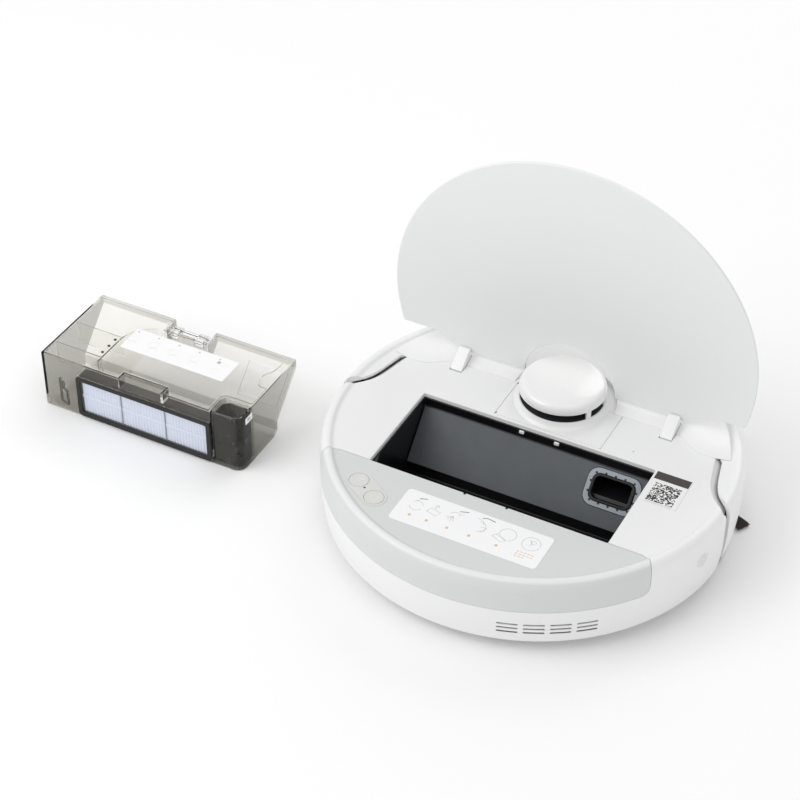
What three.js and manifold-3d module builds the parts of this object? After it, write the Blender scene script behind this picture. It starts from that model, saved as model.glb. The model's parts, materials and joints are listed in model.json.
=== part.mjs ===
// A robot vacuum cleaner with a laser turret, its lid open and its dust bin lifted out beside it.
// Millimetres, +Z up. The body's centre is the centre of the round plan, +Y is the way it drives,
// and the floor is z = 0. The group is moved along X at the end, so that the origin is under the
// middle of the whole set.
import * as THREE from 'three';
import { mergeVertices } from 'three/addons/utils/BufferGeometryUtils.js';
import Module from 'manifold-3d';

const wasm = await Module();
wasm.setup();

// ---------------------------------------------------------------- driving dimensions
const BODY_R = 175;
const RIM_Z = 76;
const DECK_Z = 73;
const DECK_R = 162.6;
const SKIN = 4;
const WALL_FOOT_Z = 13;
const PAN_Z = 9;
const PAN_T = 2.5;
const GAP = 0.3;
const TOUCH = 0.05;
const BODY_STEPS = 60;
const TURRET_STEPS = 36;

const BAY = { x0: -105.7, x1: 104.2, y0: -85.4, y1: 12.2, floorZ: 14, wall: 2 };
const SLOPE = { lowY: -22.5, lowZ: 23.5, highY: 11, highZ: 60.5 };
const TURRET = { x: 0.7, y: 57.5, r: 37.2, bandLowZ: 78.6, bandHighZ: 86.2, topZ: 94.5 };
const WELL_R = 33;
const PLATE = { x0: -42, x1: 54, y0: 15.2, y1: 62.3 };
const HINGE = { y: 67.8, z: 70, armX: 96.3, armWidth: 10.5 };
const LID = { r: 162.2, t: 3, innerZ: 73.6, openDeg: 87.2, notchR: 41.2 };
const CREST = { y: 71, z: 77, r: 162.8, centreY: -3.4, notchR: 46 };
const BUMPER = { footZ: 20, flangeZ: 72.8, endY: -4.4 };
const COVER = { y: BAY.y0, footZ: 47, halfDeg: 56.5, t: 1.9, recess: 2.2 };
const WHEEL = { x: 122, r: 33, width: 22, pivotY: 44, pivotZ: 38 };
const MAIN_BRUSH = { y: 50, z: 25.6, r: 20.5, half: 84 };
const SPEAKER = { deg: -14.8, z: 49.5, r: 7.4 };
const SIDE_BRUSH = { x: 108, y: 92, tuftDeg: -28.8, reach: 72.6 };
const CASTER = { y: 128, rollY: 124, r: 11, width: 14, forkR: 20 };
const FAN = { x: 58, y: -113.4, r: 26, outletDeg: 29.5 };
const BIN = { x: -335, y: -30.8, width: 202, depth: 95.6, height: 57.5, wall: 1.8 };
const BUTTONS = { ax: -101.4, ay: -111.2, bx: -80.9, by: -124.2, r: 8.2, padR: 10.6 };
const GROUP_X = (BIN.width / 2 - BIN.x - BODY_R) / 2;

// ---------------------------------------------------------------- solids
const rad = (deg) => THREE.MathUtils.degToRad(deg);

function signedVolume(position, index) {
  const a = new THREE.Vector3();
  const b = new THREE.Vector3();
  const c = new THREE.Vector3();
  let sum = 0;
  for (let i = 0; i < index.length; i += 3) {
    a.fromBufferAttribute(position, index[i]);
    b.fromBufferAttribute(position, index[i + 1]);
    c.fromBufferAttribute(position, index[i + 2]);
    sum += a.dot(b.cross(c));
  }
  return sum / 6;
}

// A three.js geometry as a manifold: merged vertices, no flat triangles, faces pointing out.
function solid(geometry) {
  const bare = geometry.clone();
  bare.deleteAttribute('normal');
  bare.deleteAttribute('uv');
  const merged = mergeVertices(bare, 1e-4);
  const all = merged.index.array;
  const kept = [];
  for (let i = 0; i < all.length; i += 3) {
    const [a, b, c] = [all[i], all[i + 1], all[i + 2]];
    if (a !== b && b !== c && c !== a) kept.push(a, b, c);
  }
  if (signedVolume(merged.attributes.position, kept) < 0) kept.reverse();
  const mesh = new wasm.Mesh({
    numProp: 3,
    vertProperties: new Float32Array(merged.attributes.position.array),
    triVerts: new Uint32Array(kept),
  });
  return new wasm.Manifold(mesh);
}

function geometryOf(manifold) {
  const mesh = manifold.getMesh();
  const geometry = new THREE.BufferGeometry();
  geometry.setAttribute('position', new THREE.BufferAttribute(mesh.vertProperties, 3));
  geometry.setIndex(new THREE.BufferAttribute(mesh.triVerts, 1));
  return geometry;
}

const cut = (body, ...tools) => tools.reduce((left, tool) => left.subtract(tool), body);
const join = (body, ...others) => others.reduce((left, other) => left.add(other), body);
const common = (body, other) => body.intersect(other);

function box(x0, x1, y0, y1, z0, z1) {
  const geometry = new THREE.BoxGeometry(x1 - x0, y1 - y0, z1 - z0);
  return solid(geometry.translate((x0 + x1) / 2, (y0 + y1) / 2, (z0 + z1) / 2));
}

function rod(r, z0, z1, x = 0, y = 0, steps = 24) {
  const geometry = new THREE.CylinderGeometry(r, r, z1 - z0, steps);
  return solid(geometry.rotateX(Math.PI / 2).translate(x, y, (z0 + z1) / 2));
}

function rodX(r, x0, x1, y, z, steps = 16) {
  const geometry = new THREE.CylinderGeometry(r, r, x1 - x0, steps);
  return solid(geometry.rotateZ(Math.PI / 2).translate((x0 + x1) / 2, y, z));
}

// A profile of [radius, height] points turned about the upright axis through x, y.
function turned(profile, x = 0, y = 0, steps = BODY_STEPS) {
  const points = profile.map(([r, z]) => new THREE.Vector2(r, z));
  const geometry = new THREE.LatheGeometry(points, steps);
  return solid(geometry.rotateX(Math.PI / 2).translate(x, y, 0));
}

// The same for a profile that closes on itself.
const ringTurned = (profile, x, y, steps) => turned([...profile, profile[0]], x, y, steps);

function outline(points) {
  return new THREE.Shape(points.map(([x, y]) => new THREE.Vector2(x, y)));
}

function extruded(points, depth) {
  return new THREE.ExtrudeGeometry(outline(points), { depth, bevelEnabled: false });
}

const prism = (points, z0, z1) => solid(extruded(points, z1 - z0).translate(0, 0, z0));

// An outline of [y, z] points carried along X.
function prismX(points, x0, x1) {
  const standUp = new THREE.Matrix4().set(0, 0, 1, x0, 1, 0, 0, 0, 0, 1, 0, 0, 0, 0, 0, 1);
  return solid(extruded(points, x1 - x0).applyMatrix4(standUp));
}

// Outlines of [x, y, z] points, all with the same count, joined one to the next and closed at both ends.
function lofted(sections) {
  const count = sections[0].length;
  const geometry = new THREE.BufferGeometry();
  geometry.setAttribute('position', new THREE.Float32BufferAttribute(sections.flat(2), 3));
  const index = [];
  for (let s = 0; s + 1 < sections.length; s += 1) {
    for (let i = 0; i < count; i += 1) {
      const [a, b] = [s * count + i, s * count + ((i + 1) % count)];
      index.push(a, b, b + count, a, b + count, a + count);
    }
  }
  const last = (sections.length - 1) * count;
  for (let i = 1; i + 1 < count; i += 1) {
    index.push(0, i + 1, i, last, last + i, last + i + 1);
  }
  geometry.setIndex(index);
  return solid(geometry);
}

// A smooth curve through [x, y] points.
function smooth(points, steps) {
  const curve = new THREE.SplineCurve(points.map(([x, y]) => new THREE.Vector2(x, y)));
  return curve.getPoints(steps).map(({ x, y }) => [x, y]);
}

function arcPoints(cx, cy, r, fromDeg, toDeg, steps) {
  return Array.from({ length: steps + 1 }, (_, i) => {
    const angle = rad(fromDeg + ((toDeg - fromDeg) * i) / steps);
    return [cx + r * Math.cos(angle), cy + r * Math.sin(angle)];
  });
}

function roundedRect(x0, x1, y0, y1, r, steps = 4) {
  return [
    ...arcPoints(x1 - r, y0 + r, r, -90, 0, steps),
    ...arcPoints(x1 - r, y1 - r, r, 0, 90, steps),
    ...arcPoints(x0 + r, y1 - r, r, 90, 180, steps),
    ...arcPoints(x0 + r, y0 + r, r, 180, 270, steps),
  ];
}

// The round-ended outline about the line from a to b.
function pill(ax, ay, bx, by, r, steps = 8) {
  const along = THREE.MathUtils.radToDeg(Math.atan2(by - ay, bx - ax));
  return [
    ...arcPoints(bx, by, r, along - 90, along + 90, steps),
    ...arcPoints(ax, ay, r, along + 90, along + 270, steps),
  ];
}

const mirrored = (points) => points.map(([x, y]) => [-x, y]).reverse();

// Two x positions in rising order, so that one formula serves both sides of the body.
const span = (a, b) => [Math.min(a, b), Math.max(a, b)];

// ---------------------------------------------------------------- finishes and nodes
const FINISHES = {
  white: { color: 0xf0f0ef, roughness: 0.35 },
  frosted: { color: 0xdcdedd, roughness: 0.5 },
  black: { color: 0x0b0b0d, roughness: 0.3 },
  graphite: { color: 0x3a3d42, roughness: 0.55 },
  paleGrey: { color: 0x98a0a8, roughness: 0.5 },
  rubber: { color: 0x17171a, roughness: 0.85 },
  smoke: { color: 0xb9b4a8, roughness: 0.12 },
  pleat: { color: 0xdfe4ee, roughness: 0.9 },
  label: { color: 0xfafafa, roughness: 0.4 },
  metal: { color: 0xb8bbbe, roughness: 0.3, metalness: 1 },
  board: { color: 0x1f6b45, roughness: 0.6 },
  bristle: { color: 0x35332f, roughness: 0.8 },
};

const group = new THREE.Group();
group.position.x = GROUP_X;

function node(name, finish, manifold, parent = group) {
  const mesh = new THREE.Mesh(geometryOf(manifold), new THREE.MeshStandardMaterial(FINISHES[finish]));
  mesh.name = name;
  parent.add(mesh);
  return mesh;
}

// ---------------------------------------------------------------- body shell
// The outside of the body from the deck's middle over the rim and down the wall, moved in by `inset`.
function bodyProfile(inset) {
  return [
    [0, DECK_Z - inset],
    [DECK_R, DECK_Z - inset],
    [DECK_R + 3 + 0.2 * inset, 75.6 - inset],
    [BODY_R - 6.4, RIM_Z - inset],
    [BODY_R - 3 - 0.7 * inset, 74.3 - 0.8 * inset],
    [BODY_R - 0.5 - inset, 70.4 - 0.4 * inset],
    [BODY_R - inset, 66],
    [BODY_R - inset, 46],
    [BODY_R - 3 - inset, WALL_FOOT_Z],
  ];
}

const solidBody = (inset) => turned([...bodyProfile(inset), [0, WALL_FOOT_Z]]);

const bodyShell = () => turned([...bodyProfile(0), ...bodyProfile(SKIN).reverse()]);

// A corner from a by b to c, rounded over a share of each side.
function bend(a, b, c, share) {
  const corner = new THREE.Vector2(...b);
  const from = corner.clone().lerp(new THREE.Vector2(...a), share);
  const to = corner.clone().lerp(new THREE.Vector2(...c), share);
  return new THREE.QuadraticBezierCurve(from, corner, to).getPoints(4).map(({ x, y }) => [x, y]);
}

// The plan of the bumper's zone: `slot` moves its rear edge out from the deck's edge.
function bumperZone(slot) {
  const arcR = 150.2 + 0.65 * slot;
  const wallEnd = slot > 0 ? [171.8, BUMPER.endY] : [172.2, BUMPER.endY - 7.4];
  const deckEnd = [142.6 + slot, 48];
  const right = [
    [BODY_R + 20, wallEnd[1]],
    wallEnd,
    ...bend(wallEnd, [151 + slot, 11 + 0.3 * slot], deckEnd, 0.4),
    deckEnd,
  ];
  const start = THREE.MathUtils.radToDeg(Math.atan2(deckEnd[1], deckEnd[0]));
  const front = arcPoints(0, 0, arcR, start + 1, 179 - start, 18);
  return [...right, ...front, ...mirrored(right), [-BODY_R - 20, BODY_R + 20], [BODY_R + 20, BODY_R + 20]];
}

// The plan of the frosted cover, its front corners rounded; `grow` moves its edges out.
function coverPlan(grow) {
  const side = rad(COVER.halfDeg);
  const corner = [174 * Math.sin(side) + grow, -174 * Math.cos(side) + grow];
  const far = [195 * Math.sin(side) + grow, -195 * Math.cos(side) + grow];
  const right = [[far[0], far[1]], corner, [140.4 + grow, -89.6 + grow], [132, COVER.y - GAP + grow]];
  return [...right, ...mirrored(right), [-far[0], -BODY_R - 30], [far[0], -BODY_R - 30]];
}

function coverRecess() {
  const outerBand = cut(solidBody(-1), solidBody(COVER.recess));
  return common(outerBand, prism(coverPlan(GAP), COVER.footZ - GAP, RIM_Z + 10));
}

const slitBox = new THREE.BoxGeometry(16.4, 20, 1.4);

// Four groups of three slits, low in the rear wall.
function exhaustSlits() {
  const slits = [];
  for (const deg of [19.1, 26.0, 32.9, 39.8]) {
    for (const z of [23.5, 28, 32.5]) {
      const at = slitBox.clone().translate(0, -BODY_R, z).rotateZ(rad(deg));
      slits.push(solid(at));
    }
  }
  return slits;
}

// A round plug in the wall at the speaker's place, from `back` to `front` from the body's axis.
function speakerPlug(r, back, front) {
  const plug = new THREE.CylinderGeometry(r, r, front - back, 14).rotateZ(Math.PI / 2);
  return solid(plug.translate((back + front) / 2, 0, SPEAKER.z).rotateZ(rad(SPEAKER.deg)));
}

function hingeSlots(halfWide, y0, y1, z0, z1) {
  return [-1, 1].map((s) => {
    const x = s * HINGE.armX;
    return box(x - halfWide, x + halfWide, y0, y1, z0, z1);
  });
}

function upperHousing() {
  const arm = HINGE.armWidth / 2 + 0.35;
  const pad = pill(BUTTONS.ax, BUTTONS.ay, BUTTONS.bx, BUTTONS.by, BUTTONS.padR - 1.4);
  return cut(
    bodyShell(),
    prism(bumperZone(0), 0, 90),
    box(BAY.x0, BAY.x1, BAY.y0, BAY.y1, 60, 90),
    box(PLATE.x0 - GAP, PLATE.x1 + GAP, PLATE.y0 - GAP, PLATE.y1 + GAP, 60, 90),
    rod(WELL_R, 60, 90, TURRET.x, TURRET.y, TURRET_STEPS),
    ...hingeSlots(arm, 50.6, 62, 60, 90),
    ...hingeSlots(arm + 3.6, 61.9, 74, 60, 90),
    coverRecess(),
    prism(pad, 60, 90),
    speakerPlug(SPEAKER.r + GAP, BODY_R - 8, BODY_R + 4),
    ...exhaustSlits(),
  );
}

// The frosted skin over the rear deck, which wraps over the rim and down the wall.
function rearCover() {
  const skin = common(cut(solidBody(0), solidBody(COVER.t)), prism(coverPlan(0), COVER.footZ, RIM_Z + 10));
  const pad = pill(BUTTONS.ax, BUTTONS.ay, BUTTONS.bx, BUTTONS.by, BUTTONS.padR + GAP);
  return cut(skin, prism(pad, 60, 90));
}

// The raised front cover: a flat crest that ramps down to the deck, cut round for the turret.
// The room above the crest's slope, over one side: it starts along the foot and climbs to the crest line.
function overSlope(foot) {
  const low = DECK_Z + 0.5;
  return lofted(foot.map(([x, y]) => [
    [x, y, low], [x, CREST.y, CREST.z], [x, CREST.y, 90], [x, 40, 90], [x, 40, low],
  ]));
}

function frontCrescent() {
  const foot = smooth([[153.6, 51.2], [142, 48], [131, 47.4], [121, 50.2], [112.5, 56.4], [105, 61.3]], 15);
  const edge = THREE.MathUtils.radToDeg(Math.atan2(51.2 - CREST.centreY, 153.6));
  const notchDeg = THREE.MathUtils.radToDeg(Math.asin((61.3 - TURRET.y) / CREST.notchR));
  const plan = [
    ...foot,
    ...arcPoints(TURRET.x, TURRET.y, CREST.notchR, notchDeg, 180 - notchDeg, 18),
    ...mirrored(foot),
    ...arcPoints(0, CREST.centreY, CREST.r, 180 - edge, edge, 30).slice(1, -1),
  ];
  const slab = prism(plan.reverse(), DECK_Z + GAP, CREST.z);
  const arm = HINGE.armWidth / 2 + 0.35;
  const cheeks = [-1, 1].flatMap((s) => [-1, 1].map((side) => {
    const inner = s * HINGE.armX + side * arm;
    return box(...span(inner, inner + side * 2.6), 63, 72.6, 64.5, 73.8);
  }));
  const ramped = cut(
    slab,
    overSlope([[180, 51.2], ...foot, [-105, 61.3]]),
    overSlope([[-105, 61.3], ...mirrored(foot), [-180, 51.2]]),
  );
  return cut(
    join(ramped, ...cheeks),
    ...hingeSlots(arm, 50, 72, 60, 90),
    rodX(1.75, -115, -80, HINGE.y, HINGE.z),
    rodX(1.75, 80, 115, HINGE.y, HINGE.z),
  );
}

function basePan() {
  const shell = turned([
    [0, PAN_Z], [152, PAN_Z], [166, PAN_Z + 1.6], [171.6, WALL_FOOT_Z - GAP], [168, WALL_FOOT_Z - GAP],
    [164, PAN_Z + PAN_T + 1], [150, PAN_Z + PAN_T], [0, PAN_Z + PAN_T],
  ]);
  const frontWall = common(
    ringTurned([[157.5, PAN_Z + 1], [160, PAN_Z + 1], [160, 66], [157.5, 66]]),
    box(-200, 200, 60, 200, 0, 80),
  );
  const wheelWells = [-1, 1].map((s) => box(...span(s * 108.5, s * 154), -40, 41, 0, 30));
  return cut(
    join(shell, frontWall),
    ...wheelWells,
    box(-92, 92, 26, 74, 0, 30),
    rod(14.6, 0, 30, SIDE_BRUSH.x, SIDE_BRUSH.y),
    rod(CASTER.forkR + 0.6, 0, 30, 0, CASTER.y, 28),
  );
}

// ---------------------------------------------------------------- bumper
function bumperBlank() {
  return ringTurned([
    [150, BUMPER.flangeZ], [DECK_R, BUMPER.flangeZ], [DECK_R + 3, 75.6], [BODY_R - 6.4, RIM_Z],
    [BODY_R - 3, 74.3], [BODY_R - 0.5, 70.4], [BODY_R, 66], [BODY_R, 46], [BODY_R - 2.2, BUMPER.footZ],
    [BODY_R - 4.8, BUMPER.footZ], [BODY_R - 2.7, 46], [BODY_R - 2.7, 65.5], [BODY_R - 3.8, 68.6],
    [BODY_R - 6, 70.2], [150, 70.2],
  ]);
}

// The curved infrared window's place in the middle of the bumper.
function windowBand(rIn, rOut, halfDeg, z0, z1) {
  const ring = ringTurned([[rIn, z0], [rOut, z0], [rOut, z1], [rIn, z1]]);
  const reach = 300 * Math.tan(rad(halfDeg));
  return common(ring, prism([[0, 0], [reach, 300], [-reach, 300]], z0 - 1, z1 + 1));
}

function bumperShell() {
  const zone = prism(bumperZone(5), BUMPER.footZ - 5, 90);
  return cut(common(bumperBlank(), zone), windowBand(160, 190, 21, 49.5, 60.5));
}

// ---------------------------------------------------------------- lid and hinges
// Drawn closed, then turned open about the hinge axis.
function lidPanel() {
  const right = [[104, 57.3], [122.5, 44.6]];
  const cornerDeg = THREE.MathUtils.radToDeg(Math.asin(44.6 / LID.r));
  const plan = [
    ...arcPoints(TURRET.x, TURRET.y - 0.2, LID.notchR, 180, 360, 24),
    ...right,
    ...arcPoints(0, 0, LID.r, cornerDeg, -180 - cornerDeg, 48),
    ...mirrored(right),
  ];
  return prism(plan, LID.innerZ, LID.innerZ + LID.t);
}

function hingeArm(side) {
  const half = HINGE.armWidth / 2;
  const barrel = arcPoints(HINGE.y, HINGE.z, 3.9, -140, 5, 6);
  const profile = [[52, 70.6], ...barrel, [71.1, 74], [70.4, 80.2], [70.1, 85.6], [67.6, 85.8], [51.8, 73.1]];
  const x = side * HINGE.armX;
  return cut(prismX(profile, x - half, x + half), rodX(1.8, x - 10, x + 10, HINGE.y, HINGE.z));
}

const hingePin = (side) => {
  const half = HINGE.armWidth / 2 + 2.6;
  return rodX(1.4, side * HINGE.armX - half, side * HINGE.armX + half, HINGE.y, HINGE.z, 14);
};

// ---------------------------------------------------------------- bin bay
const slopeDir = new THREE.Vector2(SLOPE.highY - SLOPE.lowY, SLOPE.highZ - SLOPE.lowZ).normalize();
const slopeAngle = Math.atan2(slopeDir.y, slopeDir.x);

function baySection(grow) {
  const g = grow;
  return [
    [BAY.y0 + 0.6 - g, BAY.floorZ - g],
    [SLOPE.lowY + g, BAY.floorZ - g],
    [SLOPE.lowY + g, SLOPE.lowZ - 0.4 * g],
    [SLOPE.highY + 0.9 * g, SLOPE.highZ - 0.6 * g],
    [BAY.y1 - 0.6 + g, SLOPE.highZ + 0.4],
    [BAY.y1 - 0.6 + g, DECK_Z - SKIN - GAP + (g > 0 ? 0 : 5)],
    [BAY.y0 + 0.6 - g, DECK_Z - SKIN - GAP + (g > 0 ? 0 : 5)],
  ];
}

// A shape drawn flat, with its x across the bay and its y up the slope, laid on the sloped wall.
function onSlope(points, z0, z1) {
  const flat = extruded(points, z1 - z0).translate(0, 0, z0);
  return solid(flat.rotateX(slopeAngle).translate(0, SLOPE.lowY, SLOPE.lowZ));
}

const INLET = { x0: 50.5, x1: 97, v0: 15.5, v1: 47.5, r: 9, ring: 4.2, seal: 2.4 };
const inletOutline = (inset) => roundedRect(
  INLET.x0 + inset, INLET.x1 - inset, INLET.v0 + inset, INLET.v1 - inset, INLET.r - 0.6 * inset, 5,
);

function binBay() {
  const w = BAY.wall;
  const outside = prismX(baySection(w), BAY.x0 + 0.9 - w, BAY.x1 - 0.9 + w);
  const inside = prismX(baySection(0), BAY.x0 + 0.9, BAY.x1 - 0.9);
  const chamfer = prism([[-106.5, -64], [-106.5, -86], [-99.5, -86]], BAY.floorZ - 1, DECK_Z - SKIN - GAP);
  const outlet = box(-62, 62, BAY.y0 - 6, BAY.y0 + 4, 20, 50);
  return cut(join(cut(outside, inside), chamfer), onSlope(inletOutline(-GAP), -8, 4), outlet);
}

function ringOnSlope(outerInset, innerInset, z0, z1) {
  return cut(
    onSlope(inletOutline(outerInset), z0, z1),
    onSlope(inletOutline(innerInset), z0 - 1, z1 + 1),
  );
}

function slopedPanel() {
  const v1 = Math.hypot(SLOPE.highY - SLOPE.lowY, SLOPE.highZ - SLOPE.lowZ) - 0.6;
  const sheet = onSlope([[-104, 0.6], [102.5, 0.6], [102.5, v1], [-104, v1]], GAP, GAP + 1);
  return cut(sheet, onSlope(inletOutline(-GAP), -2, 4));
}

// ---------------------------------------------------------------- turret
function turretPlate() {
  const { x, y, r, bandLowZ } = TURRET;
  const sheet = box(PLATE.x0, PLATE.x1, PLATE.y0, PLATE.y1, DECK_Z - 2.5, DECK_Z);
  const flare = ringTurned([
    [WELL_R - 0.2, DECK_Z + GAP], [r + 3.4, DECK_Z + GAP], [r + 1.9, DECK_Z + 1.6], [r + 0.8, DECK_Z + 3.4],
    [r, bandLowZ], [r - 1.3, bandLowZ], [r - 1.3, DECK_Z + 2.3], [WELL_R - 0.2, DECK_Z + 2.3],
  ], x, y, TURRET_STEPS);
  const neck = common(
    rod(36, DECK_Z - 1, DECK_Z + 2, x, y, TURRET_STEPS),
    box(-60, 60, 0, PLATE.y1 - 0.5, 60, 90),
  );
  return cut(join(sheet, flare, neck), rod(WELL_R - 0.2, 60, 90, x, y, TURRET_STEPS));
}

function turretCap() {
  const { x, y, r, bandLowZ, bandHighZ, topZ } = TURRET;
  const dome = turned([
    [0, topZ], [r - 5.6, topZ], [r - 3.4, topZ - 0.6], [r - 1.6, topZ - 2.1], [r - 0.7, topZ - 4.4],
    [r, bandHighZ], [r - 1.8, bandHighZ], [r - 2.8, topZ - 4.8], [r - 6, topZ - 2.4], [0, topZ - 2.4],
  ], x, y, TURRET_STEPS);
  const posts = [[-29.5, 4.6], [8, 1.8], [80, 5], [150, 5], [-156, 4]].map(([deg, wide]) => {
    const post = new THREE.BoxGeometry(2.2, wide, bandHighZ + 1 - bandLowZ - GAP);
    post.translate(r - 1.6, 0, (bandHighZ + 1 + bandLowZ + GAP) / 2).rotateZ(rad(deg)).translate(x, y, 0);
    return solid(post);
  });
  return join(dome, ...posts);
}

function lidarHead() {
  const { x, y } = TURRET;
  const drum = turned([
    [0, 79.2], [28, 79.2], [29.5, 80], [29.5, 87], [28, 88], [0, 88],
  ], x, y, 28);
  return cut(drum, box(x - 9, x + 9, y - 32, y - 26, 80.8, 86.4));
}

function lidarBase() {
  const [stem, flange] = [WELL_R - 0.6, TURRET.r - 1.6];
  const profile = [
    [0, 58], [26, 58], [26, 73], [stem, 74], [stem, DECK_Z + 2.6], [flange, DECK_Z + 2.6],
    [flange, TURRET.bandLowZ - 0.4], [0, TURRET.bandLowZ - 0.4],
  ];
  return turned(profile, TURRET.x, TURRET.y, TURRET_STEPS);
}

// ---------------------------------------------------------------- drive, brushes and caster
// The arm hangs from a trunnion ahead of the wheel and carries the stub the hub turns on.
function wheelArm(side) {
  const profile = [[-14, 25], [46, 25], [51, 32], [51, 44], [42, 50], [-6, 46], [-14, 40]];
  const block = prismX(profile, ...span(side * 135, side * 152));
  const stub = rodX(3, ...span(side * 110.5, side * 136), 0, WHEEL.r);
  const trunnion = rodX(4, ...span(side * 132, side * 156), WHEEL.pivotY, WHEEL.pivotZ);
  return join(block, stub, trunnion);
}

function tyre(side) {
  const half = WHEEL.width / 2;
  const x = side * WHEEL.x;
  const band = rodX(WHEEL.r, x - half, x + half, 0, WHEEL.r, 36);
  const groove = cut(
    rodX(WHEEL.r + 1, x - 1.2, x + 1.2, 0, WHEEL.r, 36),
    rodX(WHEEL.r - 1.6, x - 2, x + 2, 0, WHEEL.r, 36),
  );
  return cut(band, groove, rodX(26.6, x - 20, x + 20, 0, WHEEL.r, 28));
}

function wheelHub(side) {
  const half = WHEEL.width / 2 - 1;
  const x = side * WHEEL.x;
  const dish = rodX(18, ...span(x + side * 3, x - side * 20), 0, WHEEL.r, 24);
  const boss = rodX(7, x - half, x + half, 0, WHEEL.r, 16);
  return cut(
    join(cut(rodX(26.3, x - half, x + half, 0, WHEEL.r, 28), dish), boss),
    rodX(3.3, x - 20, x + 20, 0, WHEEL.r),
  );
}

// A six-finned roller whose fins sweep back from the middle in a chevron.
function mainBrush() {
  const fins = 6;
  const section = [];
  for (let i = 0; i < fins; i += 1) {
    const mid = (360 / fins) * i;
    for (const [r, off] of [[9, -20], [10, -9], [MAIN_BRUSH.r, -3.5], [MAIN_BRUSH.r, 3.5], [10, 9]]) {
      section.push([r * Math.cos(rad(mid + off)), r * Math.sin(rad(mid + off))]);
    }
  }
  const length = 2 * MAIN_BRUSH.half;
  const settings = { depth: length, steps: 6, bevelEnabled: false };
  const geometry = new THREE.ExtrudeGeometry(outline(section), settings);
  const position = geometry.attributes.position;
  for (let i = 0; i < position.count; i += 1) {
    const along = position.getZ(i) - MAIN_BRUSH.half;
    const turn = rad(60) * Math.abs(along) / MAIN_BRUSH.half;
    const [a, b] = [position.getX(i), position.getY(i)];
    const y = a * Math.cos(turn) - b * Math.sin(turn);
    const z = a * Math.sin(turn) + b * Math.cos(turn);
    position.setXYZ(i, along, MAIN_BRUSH.y + y, MAIN_BRUSH.z + z);
  }
  return solid(geometry);
}

const brushFrame = () => cut(
  box(-96, 96, 22.5, 77.5, PAN_Z - 2.2, PAN_Z - GAP),
  box(-86, 86, 28.5, 71.5, 0, 20),
);

// The half tunnel over the main brush, open below and at the inlet side.
function brushTunnel() {
  const arch = (r) => [
    [MAIN_BRUSH.y - r, PAN_Z + PAN_T + 3],
    ...arcPoints(MAIN_BRUSH.y, MAIN_BRUSH.z, r, 180, 0, 14),
    [MAIN_BRUSH.y + r, PAN_Z + PAN_T + 3],
  ];
  return cut(
    prismX(arch(24.6), -91, 91),
    prismX(arch(22.6), -89.7, 89.7),
    box(-90, 90, 20, 80, 0, PAN_Z + PAN_T + 3.4),
    box(55.5, 86.5, 20, 45, 38, 60),
  );
}

// The short duct from the tunnel to the bay's inlet.
function suctionDuct() {
  const outside = [[-5.2, 38], [28, 40.6], [37.5, 49], [20, 60], [13.1, 58.4]];
  const inside = [
    [-9, 36], [-5.2, 40.2], [28, 42.8], [40, 48.4], [20, 57.8], [13.1, 56.4], [9, 60], [-9, 60],
  ];
  return cut(
    prismX(outside, 54.5, 90),
    prismX(inside, 56.5, 88),
    rodX(24.9, 40, 100, MAIN_BRUSH.y, MAIN_BRUSH.z, 32),
  );
}

function sideBrushHub() {
  const { x, y } = SIDE_BRUSH;
  const cone = turned([[0, 2.6], [9, 2.6], [12.4, 4.2], [13.2, 8.4], [8, 10.6], [0, 10.6]], x, y, 24);
  return cut(cone, rod(2.4, 0, 4.4, x, y, 12));
}

// One tuft of bristles: a flat bundle that widens and sinks towards its tip.
function sideBrushTuft(turn) {
  const tuft = new THREE.BoxGeometry(1, 1, 1, 2, 1, 1);
  const position = tuft.attributes.position;
  for (let i = 0; i < position.count; i += 1) {
    const t = position.getX(i) + 0.5;
    const along = 13.6 + t * (SIDE_BRUSH.reach - 13.6);
    const wide = 4 + 9 * t * t;
    const lift = 4.8 - 3 * t + (position.getZ(i) * (2.6 - t));
    position.setXYZ(i, along, position.getY(i) * wide, lift);
  }
  return solid(tuft.rotateZ(rad(SIDE_BRUSH.tuftDeg + turn)).translate(SIDE_BRUSH.x, SIDE_BRUSH.y, 0));
}

function casterFork() {
  const disc = rod(CASTER.forkR, PAN_Z - 1.2, PAN_Z + 6, 0, CASTER.y, 28);
  const stem = rod(5, PAN_Z + 5, PAN_Z + 17, 0, CASTER.y + 10, 16);
  const roll = CASTER.r + 1.2;
  return cut(
    join(disc, stem),
    box(-CASTER.width / 2 - 0.6, CASTER.width / 2 + 0.6, CASTER.rollY - roll, CASTER.rollY + roll, 0, 30),
    rodX(1.9, -20, 20, CASTER.rollY, CASTER.r, 14),
  );
}

function casterRoller() {
  const half = CASTER.width / 2;
  return join(
    rodX(CASTER.r, -half, half, CASTER.rollY, CASTER.r, 24),
    rodX(1.5, -11.5, 11.5, CASTER.rollY, CASTER.r, 12),
  );
}

// ---------------------------------------------------------------- inside the body
function fanHousing() {
  const { x, y, r } = FAN;
  const outlet = (wide, tall, reach) => {
    const duct = new THREE.BoxGeometry(wide, reach, tall).translate(16, -reach / 2, 31);
    return solid(duct.rotateZ(rad(FAN.outletDeg)).translate(x, y, 0));
  };
  const drum = join(rod(r, 16, 46, x, y, 28), outlet(16, 30, 34));
  return cut(drum, rod(r - 2, 18, 44, x, y, 28), rod(13, 40, 50, x, y, 20), outlet(12.5, 26.5, 40));
}

function fanImpeller() {
  const { x, y } = FAN;
  const disc = turned([[0, 20], [21, 20], [21, 22], [8, 24], [6, 38], [0, 38]], x, y, 24);
  const blades = Array.from({ length: 9 }, (_, i) => {
    const blade = new THREE.BoxGeometry(13.6, 1.4, 15).translate(13.4, 0, 29);
    return solid(blade.rotateZ(rad(40 * i)).translate(x, y, 0));
  });
  return join(disc, ...blades);
}

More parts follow.
